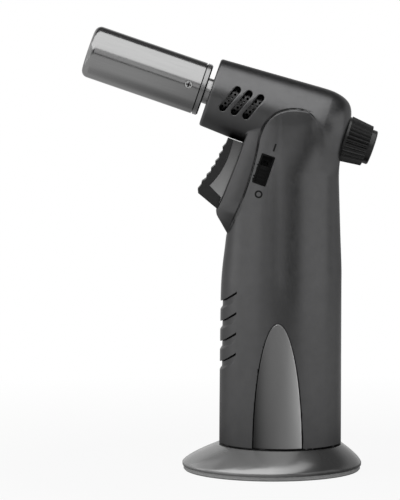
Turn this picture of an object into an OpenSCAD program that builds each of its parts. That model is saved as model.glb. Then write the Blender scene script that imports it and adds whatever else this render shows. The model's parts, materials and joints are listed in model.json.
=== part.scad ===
// Hand-held butane torch: a cylindrical fuel-tank handle on a flared foot, a tilted head with
// air slots, a sheet-steel burner, a pivoting ignition trigger, a sliding lock and a flame knob.
// Millimetres, +Z up, origin on the handle's axis in the plane of the foot's underside, where
// the filling port opens. The burner points towards -X.
// Places in the head are given as d, the distance below the burner's axis, and a, the distance
// along it behind the point where it crosses the handle's axis.

/* [Foot] */
// Diameter of the flared foot
base_d = 65; // [58:0.5:80]
// Distance of the foot's centre ahead of the handle's axis
base_shift = 3; // [0:0.5:5]
// Height at which the handle leaves the foot
base_h = 9.6; // [9:0.1:12]
// Thickness of the pale plate under the foot
plate_t = 1.6; // [1.4:0.1:2.2]
// Diameter of the filling well in the underside
well_d = 10; // [9:0.5:12]
// Depth of the filling well's collar
well_h = 4; // [3:0.1:4.5]

/* [Handle] */
// Diameter of the handle
handle_d = 44; // [42:0.5:53]
// Thickness of the casing round the fuel tank
handle_wall = 3; // [2:0.1:4]
// Height of the side inlay's tip
inlay_top = 54; // [40:0.5:56]
// Width of the side inlay at the foot
inlay_w = 18; // [12:0.5:22]
// Distance of the inlay's middle ahead of the handle's axis
inlay_shift = 1.5; // [0:0.5:4]
// Thickness of the side inlay
inlay_t = 1.1; // [0.8:0.1:1.6]
// Number of finger grooves
groove_count = 4; // [1:1:4]
// Height of the lowest finger groove at the front
groove_low = 38.5; // [30:0.5:40]
// Distance from one finger groove to the next
groove_pitch = 7.5; // [6:0.1:8]
// Height of a finger groove
groove_h = 2.9; // [2:0.1:4]
// Depth of the finger grooves
groove_depth = 0.8; // [0.4:0.05:1]
// Angle at which the finger grooves rise towards the sides
groove_rise = 28; // [0:1:40]

/* [Head] */
// Height at which the burner's axis crosses the handle's axis
axis_h = 127.3; // [125:0.1:153]
// Angle by which the burner points up
burner_tilt = 19; // [17:0.5:21]
// Distance of the head's front face ahead of the crossing
head_front = 26.8; // [25:0.1:32]
// Distance of the knob's seat behind the crossing
head_back = 24.6; // [24:0.1:28]
// Diameter of the head at its front face
head_front_d = 25; // [24:0.2:30]
// Diameter of the head at its back
head_back_d = 29.6; // [28:0.2:35]
// Radius of the head's rounded back
head_round = 9.5; // [6:0.1:10]
// Diameter of the air chamber in the head
chamber_d = 19.2; // [18:0.1:20]
// Thickness of the head's front wall
front_wall = 2; // [1.5:0.1:3]
// Length of an air slot
slot_len = 10.6; // [8:0.1:12]
// Width of an air slot
slot_w = 2.4; // [1.8:0.1:2.8]
// Distance from one air slot to the next
slot_pitch = 4.35; // [3.8:0.05:5]
// Distance of the middle air slot ahead of the crossing
slot_place = 15; // [14:0.1:17]
// Angle by which the air slots lean back
slot_lean = 21; // [0:1:30]
// Diameter of a hole in the air screen
screen_hole_d = 0.95; // [0.7:0.05:1.1]
// Distance from one screen hole to the next
screen_pitch = 1.55; // [1.4:0.05:2]
// Thickness of the air screen
screen_t = 0.4; // [0.3:0.05:0.6]

/* [Burner] */
// Diameter of the burner tube
burner_d = 19; // [17:0.1:23]
// Length of the burner tube
burner_len = 41.9; // [34:0.1:50]
// Thickness of the burner tube's sheet
burner_wall = 0.8; // [0.6:0.05:1]
// Radius of the burner tube's rolled rim
rim_r = 2.4; // [1.6:0.1:2.6]
// Width of the ring that closes the burner tube
ring_w = 2.3; // [1.4:0.1:2.6]
// Diameter of the neck between the burner and the head
neck_d = 9.4; // [9.2:0.1:10.4]
// Length of neck that shows between the burner and the head
neck_show = 1.8; // [1.4:0.1:4]
// Thickness of the neck's wall
neck_wall = 0.8; // [0.6:0.05:0.9]
// Distance of the flame holder inside the rim
holder_depth = 11.4; // [9:0.1:15]

/* [Trigger] */
// Width of the trigger's lever
trigger_w = 12; // [10:0.2:12.4]
// Width of the trigger's finger pad
pad_w = 12.6; // [11:0.2:12.8]
// Width of the trigger's slot in the casing
trigger_slot_w = 13.4; // [13.4:0.1:14]
// Number of ribs on the finger pad
pad_ribs = 6; // [3:1:7]
// Diameter of the trigger's pivot pin
trigger_pin_d = 2.5; // [2:0.1:3]

/* [Lock] */
// Length of the lock's slot
lock_len = 11; // [10:0.1:13]
// Width of the lock's slot
lock_w = 5; // [4.5:0.1:6]
// Travel of the lock's slider
lock_travel = 3.4; // [2:0.1:3.6]

/* [Knob] */
// Diameter of the flame knob over its ribs
knob_d = 16.8; // [14:0.1:20]
// Length of the flame knob's ribbed part
knob_len = 9.1; // [6.5:0.1:12]
// Number of ribs on the flame knob
knob_ribs = 30; // [18:1:36]
// Diameter of the knob's end cap
knob_cap_d = 12.6; // [9:0.1:14]
// Thickness of the knob's end cap
knob_cap_t = 2.1; // [1:0.1:3]
// Diameter of the needle's spindle
spindle_d = 4; // [3:0.1:4.4]

/* [Fuel and ignition] */
// Height of the fuel tank's top
tank_top = 70; // [58:0.5:71]
// Thickness of the fuel tank's wall
tank_wall = 1.6; // [1.2:0.1:2.5]
// Diameter of the regulator's body
regulator_d = 12; // [11:0.1:13]
// Diameter of the piezo igniter
piezo_d = 9.6; // [8.5:0.1:10]
// Outer diameter of the gas hose
hose_d = 4; // [3.2:0.1:4.4]
// Inner diameter of the gas hose
hose_bore_d = 2.5; // [2:0.1:3]
// Diameter of the ignition wire
wire_d = 1.4; // [1:0.1:1.5]

/* [Clearances] */
// Gap of a shaft in its bore, on the radius
run_gap = 0.05; // [0.03:0.01:0.1]
// Gap of a fixed piece in its seat, on each side
seat_gap = 0.1; // [0.05:0.05:0.2]
// Gap between pieces that push each other
push_gap = 0.3; // [0.2:0.05:0.5]
// Gap that shows round the side inlay
inlay_gap = 0.3; // [0.15:0.05:0.5]

/* [Hidden] */
$fn = 64;
// A length that reaches past the whole object, and one by which a cut runs past a face
far = 300;
cut = 1;
skin_sides = 36;

handle_r = handle_d / 2;
tank_bore_r = handle_r - handle_wall;
neck_r = neck_d / 2;
neck_bore_r = neck_r - neck_wall;
burner_r = burner_d / 2;
head_front_r = head_front_d / 2;
head_back_r = head_back_d / 2;
regulator_r = regulator_d / 2;
head_taper = (head_back_r - head_front_r) / (head_front + head_back - head_round);
head_mid_r = head_r(0);
piezo_r = piezo_d / 2;
spindle_r = spindle_d / 2;
hose_r = hose_d / 2;
hose_bore_r = hose_bore_d / 2;

// Casing: height, front reach, back reach and half thickness of the handle at each station
waist_h = axis_h - 43.3;
handle_stations = [
  [base_h, handle_r, handle_r, handle_r],
  [38, handle_r - 0.2, handle_r, handle_r],
  [56, handle_r - 0.4, handle_r, handle_r],
  [waist_h - 18, handle_r - 0.6, handle_r, handle_r - 0.4],
  [waist_h - 11, handle_r - 1.1, handle_r, handle_r - 1.1],
  [waist_h, handle_r - 2.4, handle_r - 0.4, handle_r - 2.3],
  [axis_h - 30.3, handle_r - 3.4, handle_r - 0.8, head_mid_r + 4.3],
  [axis_h - 19.3, handle_r - 5, handle_r - 1.1, head_mid_r + 3],
  [axis_h - 10.3, handle_r - 6.2, handle_r - 2.6, head_mid_r + 1.8],
  [axis_h - 3.3, handle_r - 8.4, handle_r - 5.4, head_mid_r + 0.9],
  [axis_h + 2.7, handle_r - 10.4, handle_r - 8.5, head_mid_r + 0.5]
];
station_steps = 2;
// Cheek: X and Z of the curves along which the handle's side ends on the throat and the head
cheek_front = [[-20.5, axis_h - 44.3], [-10, axis_h - 22.3], [-8.1, axis_h - 8.3]];
cheek_top = [[-8.1, axis_h - 8.3], [-5.9, axis_h + 2.2], [4, axis_h + 2.7]];
cheek_back = [[4, axis_h + 2.7], [12, axis_h + 2.7], [22, axis_h - 5.3]];

// Throat round the trigger: d, its front and back along a, and its half thickness
throat_stations = [
  [8, -9.8, 9, 12.4],
  [20, -9.8, 9, 12.6],
  [33, -10.5, 9, 12.4],
  [37.5, -10.8, 8, 11.4],
  [40.2, -10.6, 7, 9.4],
  [43, -7.7, 6, 7],
  [45.8, -4.6, 5, 4]
];
// Power of the throat's section, 2 for an ellipse and more for a squarer one
throat_power = 4;

// Hollow for the mechanism
cavity_half_w = 9;
cavity_front_a = -6;
cavity_ceiling_d = regulator_r + 3.5;
cavity_ceiling_back_a = 16;
cavity_corner = 1;
cavity_mid_x = 12.5;
cavity_back_x = handle_r - handle_wall - 1;
cavity_back_top = axis_h - 19.5;
cavity_sill = waist_h + 3.6;
cavity_back_half_w = 6;
cavity_front_x = -(handle_r - 5.5);
cavity_floor = tank_top + 1;
tank_bore_top = tank_top + 2;
chamber_front_a = front_wall - head_front;
chamber_back_a = -3;
wire_window = [5, 4.2, -6.8];
wire_window_w = 4.2;
wire_window_len = 8.4;

// Trigger: pivot, rear face and the ends of its slot
pivot_d = 16;
pivot_a = -8;
trigger_hub_r = 2.6;
trigger_rear_a = -5;
trigger_slot_low_d = 39.3;
trigger_slot_front_a = -30;
trigger_pin_reach = 8.5;
pin_end_gap = 0.2;
pad_head_gap = 0.25;
pad_top_a = -13.5;
pad_top_d = head_r(pad_top_a) + pad_head_gap;
trigger_slot_gap = 0.2;
trigger_slot_top_d = min(pad_top_d, pivot_d - trigger_hub_r) - trigger_slot_gap;
pad_curve = [[pad_top_d, -15.3], [24, -15.6], [34.2, -19.7]];
pad_back_curve = [[pad_top_d, pad_top_a], [24, -12.2], [31.6, -16.2]];
pad_heel = [35.5, -19.1];
pad_tail = [38.6, -10.9];
pad_tail_back_a = -6.5;
// Ribs of the pad: share of its curve before and after them, height, and place of the crest
pad_rib_start = 0.096;
pad_rib_end = 0.912;
pad_rib_h = 0.6;
pad_rib_crest = 0.62;
lever_heel = [34.3, -10.8];
lever_tail_d = 36.6;

// Piezo igniter, parallel to the burner's axis
piezo_axis_d = 32;
piezo_front_a = 0.6;
piezo_back_a = 19;
plunger_r = 2.6;
plunger_bore_end_a = 12.6;
plunger_back_a = 6.4;
cradle_places = [5.5, 13];
cradle_w = 2.5;
cradle_wall = 1.4;

// Gas valve and the bell crank that opens it
lever_x = -9;
lever_h = tank_top + 11.8;
lever_hub_r = 2.2;
lever_pin_r = 1;
lever_pin_reach = cavity_half_w + 0.8;
lever_arm_in = 5.2;
lever_arm_out = 7.4;
lever_low = 1;
valve_x = lever_x + 2.8;
valve_body_r = 3.4;
valve_body_top = tank_top + 7.5;
valve_stub_r = valve_body_r - 1;
valve_stub_low = tank_top - 4;
valve_flange_r = valve_body_r + 1;
valve_flange_top = tank_top + 2;
valve_stem_r = 0.8;
valve_stem_low = tank_top - 1;
valve_port_h = tank_top + 4.6;
valve_port_in = 2;

// Gas hose: two straight runs and one bend
hose_x = 14;
hose_bend_r = 7.5;
hose_start = valve_x + valve_body_r + 0.5;
hose_top = axis_h - 19.8;
hose_axis_h = axis_h - hose_x * tan(burner_tilt);
barb_grip = 4;
barb_r = hose_bore_r - run_gap;
barb_bore_r = hose_bore_r - 0.7;

// Screws
boss_spots = [[-13.5, tank_top + 8.3], [7.5, tank_top + 12]];
head_screw_d = -10.6;
head_screw_a = 9;
casing_screw_r = 1.1;
casing_screw_head_r = 2.3;
casing_screw_head_h = 1.6;
boss_screw_seat = 9.8;
head_screw_seat = 6.8;
casing_screw_tip = -7.5;
screw_tip_gap = 0.5;
boss_r = 2.7;
base_screw_r = 1.3;
base_screw_head_r = 2.6;
base_screw_ring = 13;
base_screw_count = 3;
burner_screw_a = -34.9;
burner_screw_r = 0.9;
burner_screw_head_r = 1.35;

// Fuel tank and filling valve
tank_r = tank_bore_r - 0.3;
tank_floor = base_h + 8;
tank_cap_low = base_h + 3.9;
tank_cap_lip = 3;
tank_cap_rim = 4;
tank_lip_r = tank_r - tank_wall - seat_gap;
tank_seal_r = 0.6;
tank_seal_low = tank_floor + 0.8;
tank_seal_slack = 0.1;
seal_gap = 0.02;
fill_body_r = 2.9;
fill_body_low = well_h + 1.2;
fill_mouth_r = 1.8;
fill_mouth_h = 3.3;
fill_stem_r = 0.9;
fill_poppet_r = 2;
fill_flange_r = 4.2;
fill_flange_t = 1.2;
fill_body_top = tank_floor + seat_gap + fill_flange_t;
fill_stem_show = 0.2;
fill_poppet_t = 1.4;
fill_boss_r = 4.6;
collar_t = 2;
base_wall = 6;
base_top_t = 4;
base_hub_t = 2.5;

// Burner details
ring_back_a = -(head_front + neck_show);
tube_back_a = ring_back_a - ring_w;
tube_front_a = tube_back_a - burner_len;
holder_front_a = tube_front_a + holder_depth;
holder_t = 2;
holder_skirt = 6;
ring_skirt = 7.5;
ring_seam = 0.4;
ring_edge = 0.5;
ring_skirt_t = 1.4;
neck_back_a = -7.6;
neck_notch = [2, -1, -12.6];
neck_notch_w = 5;
neck_front_a = holder_front_a + holder_t + 1.5;
neck_flange_r = neck_r + 1.8;
neck_flange_t = 1.5;
electrode_d = 2.9;
electrode_r = 0.4;
insulator_r = 0.9;
insulator_len = 13;
insulator_front_a = holder_front_a - 1.5;
electrode_show = 4;
jet_r = 1.6;
jet_stub_r = jet_r - 0.5;
jet_stub_end_a = 1.5;
jet_hole_r = 0.3;
jet_front_a = -10.5;
regulator_front_a = -2.6;
regulator_back_a = 17;
regulator_port_r = 0.5;
needle_seat_a = 4;
needle_tip_a = 4.8;
needle_tip_r = 0.35;
needle_cone_a = 7.5;
gland_r = 3.3;
gland_front_a = regulator_back_a - 4;
seal_t = 1.4;
knob_sink = 1.2;
knob_seat_a = head_back - knob_sink;
knob_front_a = knob_seat_a + push_gap;
knob_back_a = knob_front_a + knob_len;
knob_taper = 1;
cap_peg_r = 2.4;
cap_peg_len = 1.6;
cap_peg_end_a = knob_back_a - cap_peg_len;

// Lock
lock_d = 19.8;
lock_frame_t = 0.5;
lock_floor_y = -12.2;
lock_face_y = -15;
lock_recess = 0.5;
lock_corner_r = 0.4;
lock_tongue_y = -7;
lock_tongue_len = 2.6;
lock_tongue_w = 1.4;
lock_slider_len = lock_len - lock_travel - 2 * lock_frame_t - 4 * seat_gap;
lock_slider_w = lock_w - 2 * lock_frame_t - 4 * seat_gap;
lock_rest_d = lock_d + lock_travel / 2;

// Ignition wire: d, y and a of the points it follows
wire_route = [
  [32, 0, 19.2], [32, 0.3, 21], [31, 2.2, 22.3], [28, 4.6, 22], [24, 6.2, 19.5], [19.5, 6.8, 14],
  [15.5, 6.9, 8], [12.6, 6.9, 2.5], [10.9, 6.4, -1.2], [8, 5.2, -4.6], [5, 2.6, -7.6],
  [3.2, 0.6, -10.4], [2.9, 0, -13], [2.9, 0, -24], [2.9, 0, -35], [2.9, 0, -46]
];
wire_sides = 8;

function head_r(a) = head_front_r + head_taper * (a + head_front);
function head_point(d, a) = [
  a * cos(burner_tilt) - d * sin(burner_tilt),
  axis_h - a * sin(burner_tilt) - d * cos(burner_tilt)
];
// X, Z and the height of the seat of each screw that joins the casing
casing_screw_spots = concat(
  [for (spot = boss_spots) [spot[0], spot[1], boss_screw_seat]],
  [concat(head_point(head_screw_d, head_screw_a), [head_screw_seat])]
);
function arc(x, y, r, from, to, steps) = [
  for (i = [0:steps]) let (t = from + (to - from) * i / steps) [x + r * cos(t), y + r * sin(t)]
];
function bezier_point(p, t) = (1 - t) * (1 - t) * p[0] + 2 * t * (1 - t) * p[1] + t * t * p[2];
function bezier_normal(p, t) =
  let (along = (1 - t) * (p[1] - p[0]) + t * (p[2] - p[1])) [along[1], -along[0]] / norm(along);
function bezier(p, steps) = [for (i = [0:steps]) bezier_point(p, i / steps)];
function reversed(list) = [for (i = [len(list) - 1:-1:0]) list[i]];
function shifted(list, step) = [for (p = list) p + step];

// Smooth value between stations, with the slope at each taken from its neighbours
function slope(s, i) =
  let (low = max(i - 1, 0), high = min(i + 1, len(s) - 1)) (s[high] - s[low]) / (s[high][0] - s[low][0]);
function station(s, i, t) =
  let (h = s[i + 1][0] - s[i][0])
  (2 * pow(t, 3) - 3 * t * t + 1) * s[i] + (pow(t, 3) - 2 * t * t + t) * h * slope(s, i)
  + (3 * t * t - 2 * pow(t, 3)) * s[i + 1] + (pow(t, 3) - t * t) * h * slope(s, i + 1);
function stations_filled(s, steps) = concat(
  [for (i = [0:len(s) - 2]) for (k = [0:steps - 1]) station(s, i, k / steps)],
  [s[len(s) - 1]]
);
function oval(front, back, half) = [
  for (k = [0:skin_sides - 1]) let (t = (k + 0.5) * 360 / skin_sides)
  [(cos(t) < 0 ? front : back) * cos(t), half * sin(t)]
];
function squared_oval(front, back, half, power) = [
  for (p = oval(1, 1, 1)) let (n = pow(pow(abs(p[0]), power) + pow(abs(p[1]), power), 1 / power))
  [(p[0] < 0 ? front : back) * p[0] / n, half * p[1] / n]
];
function round_rect(len, w, r) = let (x = len / 2 - r, y = w / 2 - r) concat(
  arc(x, y, r, 0, 90, 4),
  arc(-x, y, r, 90, 180, 4),
  arc(-x, -y, r, 180, 270, 4),
  arc(x, -y, r, 270, 360, 4)
);
function stadium(len, w) = let (half = (len - w) / 2) concat(
  arc(half, 0, w / 2, -90, 90, 10),
  arc(-half, 0, w / 2, 90, 270, 10)
);

// Closed skin through rings that hold the same number of points
module skin(rings) {
  n = len(rings[0]);
  last = len(rings) - 1;
  sides = [
    for (i = [0:last - 1]) for (k = [0:n - 1]) let (j = (k + 1) % n)
    each [[i * n + k, (i + 1) * n + k, i * n + j], [i * n + j, (i + 1) * n + k, (i + 1) * n + j]]
  ];
  ends = [[for (k = [0:n - 1]) k], [for (k = [n - 1:-1:0]) last * n + k]];
  polyhedron([for (r = rings) each r], concat(sides, ends), convexity = 6);
}

module burner_frame() translate([0, 0, axis_h]) rotate([0, 90 + burner_tilt, 0]) children();
module side_prism(points, y0, y1) {
  translate([0, y1, 0]) rotate([90, 0, 0]) linear_extrude(y1 - y0) polygon(points);
}
module cross_rod(x, z, r, y0, y1) {
  translate([x, y1, z]) rotate([90, 0, 0]) cylinder(h = y1 - y0, r = r);
}
module rod(r, z0, z1) translate([0, 0, z0]) cylinder(h = z1 - z0, r = r);
module pipe(r_out, r_in, z0, z1) {
  difference() {
    rod(r_out, z0, z1);
    rod(r_in, z0 - cut, z1 + cut);
  }
}
module slot_prism(d, a, len, w, lean, y0, y1) {
  translate([d, 0, a]) rotate([0, lean, 0]) side_prism(stadium(len, w), y0, y1);
}
module lock_prism(d, len, w, y0, y1) {
  translate([d, 0, 0]) side_prism(round_rect(len, w, lock_corner_r), y0, y1);
}
module half_space(side) {
  translate([-far / 2, side < 0 ? -far : 0, -far / 2]) cube([far, far, 2 * far]);
}

// Outer form of the casing
module handle_form() {
  steps = 8;
  intersection() {
    skin([
      for (s = stations_filled(handle_stations, station_steps))
      [for (p = oval(s[1], s[2], s[3])) [p[0], p[1], s[0]]]
    ]);
    side_prism(concat(
      [[far / 2, 0], [-far / 2, 0], [-far / 2, cheek_front[0][1]]],
      bezier(cheek_front, steps),
      bezier(cheek_top, steps),
      bezier(cheek_back, steps),
      [[far / 2, cheek_back[2][1]]]
    ), -far / 2, far / 2);
  }
}
module throat_form() {
  burner_frame() skin([
    for (s = reversed(stations_filled(throat_stations, station_steps)))
    let (mid = (s[1] + s[2]) / 2, reach = (s[2] - s[1]) / 2)
    [for (p = squared_oval(reach, reach, s[3], throat_power)) [s[0], p[1], mid + p[0]]]
  ]);
}
module head_form() {
  edge = 1.2;
  burner_frame() rotate_extrude() polygon(concat(
    [[0, -head_front], [head_front_r - edge, -head_front], [head_front_r, edge - head_front]],
    arc(head_back_r - head_round, head_back - head_round, head_round, 0, 90, 8),
    [[0, head_back]]
  ));
}
module casing_form() {
  handle_form();
  throat_form();
  head_form();
}

// Hollows of the casing
module mechanism_hollow() {
  ceiling_back = head_point(cavity_ceiling_d, cavity_ceiling_back_a);
  side_prism([
    [cavity_front_x, cavity_floor],
    [cavity_mid_x, cavity_floor],
    [cavity_mid_x, ceiling_back[1] - cavity_corner],
    ceiling_back - [cavity_corner, 0],
    head_point(cavity_ceiling_d, cavity_front_a),
    head_point(trigger_slot_low_d - pin_end_gap, cavity_front_a),
    [cavity_front_x, cavity_sill]
  ], -cavity_half_w, cavity_half_w);
  side_prism([
    [cavity_mid_x - cut, cavity_floor],
    [cavity_back_x, cavity_floor],
    [cavity_back_x, cavity_back_top],
    [cavity_mid_x - cut, ceiling_back[1] - 1.5 * cavity_corner]
  ], -cavity_back_half_w, cavity_back_half_w);
}
module trigger_opening() {
  burner_frame() side_prism([
    [trigger_slot_top_d, trigger_slot_front_a],
    [trigger_slot_low_d, trigger_slot_front_a],
    [trigger_slot_low_d, cavity_front_a + cut],
    [trigger_slot_top_d, cavity_front_a + cut]
  ], -trigger_slot_w / 2, trigger_slot_w / 2);
}
module head_hollow() {
  burner_frame() {
    rod(chamber_d / 2, chamber_front_a, chamber_back_a);
    rod(neck_r + seat_gap, -head_front - cut, chamber_front_a + cut);
    rod(regulator_r + seat_gap, chamber_back_a - cut, regulator_back_a + seat_gap);
    rod(spindle_r + push_gap, regulator_back_a, head_back + cut);
    translate(wire_window)
      cube([cavity_ceiling_d + 2 * cut - wire_window[0], wire_window_w, wire_window_len]);
  }
  translate([hose_x, 0, 0]) rod(hose_bore_r + push_gap, hose_top - barb_grip / 2, axis_h - regulator_r);
}
module air_slots() {
  burner_frame() for (k = [-1:1]) let (a = k * slot_pitch - slot_place) {
    slot_prism(0, a, slot_len, slot_w, slot_lean, -far, 0);
    slot_prism(0, a, slot_len, slot_w, slot_lean, 0, far);
  }
}
module finger_grooves() {
  reach = 6;
  front_x = -handle_r;
  front_dip = 0.4;
  rise = reach * tan(groove_rise);
  difference() {
    for (k = [0:groove_count - 1]) let (z = groove_low + k * groove_pitch)
      side_prism([
        [front_x - cut, z - groove_h / 2],
        [front_x + reach, z + rise - groove_h / 2],
        [front_x + reach, z + rise + groove_h / 2],
        [front_x - cut, z + groove_h / 2]
      ], -handle_r, handle_r);
    rod(handle_r - front_dip - groove_depth, 0, axis_h);
  }
}
// Side inlay: an arch on the handle's side, given by its gap to the edge of the recess
module inlay_arch(gap, side) {
  half = inlay_w / 2 - gap;
  rise = inlay_top - base_h - gap;
  steps = 14;
  power = 1.6;
  edge = [
    for (i = [0:steps]) let (v = sin(90 * i / steps))
    [half * sqrt(1 - pow(v, power)), base_h + rise * v]
  ];
  translate([-inlay_shift, 0, 0]) side_prism(concat(
    [for (p = reversed(edge)) if (p[0] > 0) [-p[0], p[1]]],
    [[-half, base_h - cut], [half, base_h - cut]],
    edge
  ), side < 0 ? -far : cut, side < 0 ? -cut : far);
}
module inlay_recess(side) {
  intersection() {
    inlay_arch(0, side);
    pipe(handle_r + cut, handle_r - inlay_t - seat_gap, base_h - cut, inlay_top + cut);
  }
}
module screw_bosses(side) {
  reach = cavity_half_w + cut;
  for (spot = boss_spots)
    cross_rod(spot[0], spot[1], boss_r, side < 0 ? -reach : 0, side < 0 ? 0 : reach);
}
module piezo_cradles(side) {
  reach = cavity_half_w + cut;
  burner_frame() for (a = cradle_places)
    translate([piezo_axis_d - piezo_r - cradle_wall, side < 0 ? -reach : 0, a])
      cube([piezo_d + 2 * cradle_wall, reach, cradle_w]);
}
module screw_holes(side) {
  for (spot = casing_screw_spots) {
    cross_rod(spot[0], spot[1], casing_screw_r + run_gap, casing_screw_tip - screw_tip_gap, spot[2] + cut);
    if (side > 0)
      cross_rod(spot[0], spot[1], casing_screw_head_r + seat_gap, spot[2], far);
  }
}
module pin_holes() {
  trigger_hole = trigger_pin_reach + pin_end_gap;
  lever_hole = lever_pin_reach + pin_end_gap;
  burner_frame() cross_rod(pivot_d, pivot_a, trigger_pin_d / 2 + run_gap, -trigger_hole, trigger_hole);
  cross_rod(lever_x, lever_h, lever_pin_r + run_gap, -lever_hole, lever_hole);
}
module lock_opening() {
  burner_frame() lock_prism(lock_d, lock_len, lock_w, -far, -cavity_half_w + cut);
}
module casing_half(side) {
  difference() {
    intersection() {
      casing_form();
      half_space(side);
    }
    difference() {
      mechanism_hollow();
      screw_bosses(side);
      piezo_cradles(side);
    }
    rod(tank_bore_r, 0, tank_bore_top);
    trigger_opening();
    head_hollow();
    air_slots();
    finger_grooves();
    inlay_recess(side);
    screw_holes(side);
    pin_holes();
    burner_frame() {
      translate([piezo_axis_d, 0, 0]) rod(piezo_r + seat_gap, piezo_front_a, piezo_back_a + cut);
      rod(knob_d / 2 + push_gap, knob_seat_a, far);
    }
    if (side < 0) lock_opening();
  }
}
module casing_left() color([0.45, 0.46, 0.48]) casing_half(-1);
module casing_right() color([0.45, 0.46, 0.48]) casing_half(1);
module inlay(side) {
  intersection() {
    inlay_arch(inlay_gap, side);
    pipe(handle_r, handle_r - inlay_t, base_h + inlay_gap, inlay_top);
  }
}
module inlay_left() color([0.62, 0.63, 0.65]) inlay(-1);
module inlay_right() color([0.62, 0.63, 0.65]) inlay(1);
module casing_screws() {
  cross_len = 2.8;
  cross_w = 0.6;
  cross_depth = 0.7;
  color([0.6, 0.6, 0.62]) for (spot = casing_screw_spots) {
    head_y = spot[2] + casing_screw_head_h;
    difference() {
      union() {
        cross_rod(spot[0], spot[1], casing_screw_r, casing_screw_tip, head_y - cross_depth - cut / 2);
        cross_rod(spot[0], spot[1], casing_screw_head_r, spot[2], head_y);
      }
      translate([spot[0], head_y, spot[1]]) {
        cube([cross_len, 2 * cross_depth, cross_w], center = true);
        cube([cross_w, 2 * cross_depth, cross_len], center = true);
      }
    }
  }
}

// Foot
module base_form() {
  steps = 8;
  rings = [
    for (i = [0:steps]) let (v = i / steps, r = base_d / 2 + (handle_r - base_d / 2) * v * v)
    [
      for (p = oval(r, r, r))
      [p[0] - base_shift * (1 - v * v), p[1], plate_t + (base_h - plate_t) * v]
    ]
  ];
  skin(rings);
}
module base_screw_spots() {
  first = 60;
  for (k = [0:base_screw_count - 1])
    rotate(first + 360 * k / base_screw_count) translate([base_screw_ring, 0, 0]) children();
}
module base() {
  color([0.2, 0.2, 0.21]) difference() {
    union() {
      base_form();
      rod(tank_bore_r - seat_gap, base_h - cut, tank_cap_low - seat_gap);
    }
    difference() {
      translate([-base_shift, 0, 0]) rod(base_d / 2 - base_wall, 0, base_h - base_top_t);
      rod(well_d / 2 + collar_t + base_hub_t, 0, far);
      base_screw_spots() rod(base_screw_head_r + 1, 0, far);
    }
    rod(well_d / 2 + collar_t + seat_gap, 0, well_h + push_gap);
    rod(fill_boss_r + seat_gap, 0, far);
    base_screw_spots() rod(base_screw_r + seat_gap, 0, far);
  }
}
module base_plate() {
  recess = 0.9;
  rim = 0.4;
  inset = 0.6;
  r = base_d / 2 - inset;
  color([0.78, 0.78, 0.79]) difference() {
    union() {
      translate([-base_shift, 0, 0]) rotate_extrude() polygon([
        [0, 0], [r - rim, 0], [r, rim], [r, plate_t], [0, plate_t]
      ]);
      rod(well_d / 2 + collar_t, plate_t / 2, well_h);
    }
    rod(well_d / 2, -cut, well_h + cut);
    base_screw_spots() {
      rod(base_screw_head_r + seat_gap, -cut, recess);
      rod(base_screw_r + seat_gap, -cut, plate_t + cut);
    }
  }
}
module base_screws() {
  head_low = 0.25;
  head_top = 0.9;
  cross_len = 3;
  cross_w = 0.7;
  cross_depth = 0.35;
  tip_depth = 1;
  color([0.6, 0.6, 0.62]) base_screw_spots() difference() {
    union() {
      rod(base_screw_head_r, head_low, head_top);
      rod(base_screw_r, head_low, tank_floor - tip_depth);
    }
    for (turn = [0, 90])
      rotate(turn) cube([cross_len, cross_w, 2 * (head_low + cross_depth)], center = true);
  }
}

// Fuel tank and its valves
module fuel_tank() {
  color([0.8, 0.8, 0.78]) difference() {
    rod(tank_r, tank_floor, tank_top);
    rod(tank_r - tank_wall, tank_floor - cut, tank_top - tank_wall);
    translate([valve_x, 0, 0]) rod(valve_stub_r + seat_gap, valve_stub_low - cut, tank_top + cut);
  }
}
module tank_cap() {
  seal_h = 2 * tank_seal_r + tank_seal_slack;
  screw_roof = 0.8;
  color([0.75, 0.75, 0.73]) difference() {
    union() {
      rod(tank_r, tank_cap_low, tank_floor - seat_gap);
      rod(tank_lip_r, tank_cap_low + cut, tank_floor + tank_cap_lip);
      rod(fill_boss_r, fill_body_low + 1, tank_cap_low + cut);
    }
    pipe(tank_r, tank_lip_r - seal_h, tank_seal_low, tank_seal_low + seal_h);
    rod(tank_lip_r - tank_cap_rim, tank_floor, far);
    rod(fill_body_r + seat_gap, 0, far);
    base_screw_spots() rod(base_screw_r + run_gap, 0, tank_floor - screw_roof);
  }
}
module tank_seal() {
  color([0.1, 0.1, 0.1]) translate([0, 0, tank_seal_low + tank_seal_slack / 2 + tank_seal_r])
    rotate_extrude() translate([tank_lip_r - tank_seal_r - seal_gap, 0]) circle(tank_seal_r);
}
module fill_valve_body() {
  color([0.8, 0.65, 0.3]) difference() {
    union() {
      rod(fill_body_r, fill_body_low, fill_body_top);
      rod(fill_flange_r, tank_floor + seat_gap, fill_body_top);
    }
    rod(fill_mouth_r, fill_body_low - cut, fill_body_low + fill_mouth_h);
    rod(fill_stem_r + run_gap, fill_body_low, fill_body_top + cut);
  }
}
module fill_valve_stem() {
  poppet_low = fill_body_top + push_gap;
  color([0.85, 0.7, 0.35]) {
    rod(fill_stem_r, fill_body_low + fill_mouth_h - fill_stem_show, poppet_low + fill_poppet_t / 2);
    rod(fill_poppet_r, poppet_low, poppet_low + fill_poppet_t);
  }
}
module outlet_valve_body() {
  color([0.8, 0.65, 0.3]) translate([valve_x, 0, 0]) difference() {
    union() {
      rod(valve_body_r, tank_top + seat_gap, valve_body_top);
      rod(valve_flange_r, tank_top + seat_gap, valve_flange_top);
      rod(valve_stub_r, valve_stub_low, valve_flange_top);
      translate([0, 0, valve_port_h]) rotate([0, 90, 0]) rod(barb_r, 0, hose_start + barb_grip - valve_x);
    }
    rod(valve_stem_r + run_gap, valve_stub_low - cut, valve_body_top + cut);
    translate([0, 0, valve_port_h]) rotate([0, 90, 0]) rod(barb_bore_r, valve_port_in, far);
  }
}
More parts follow.
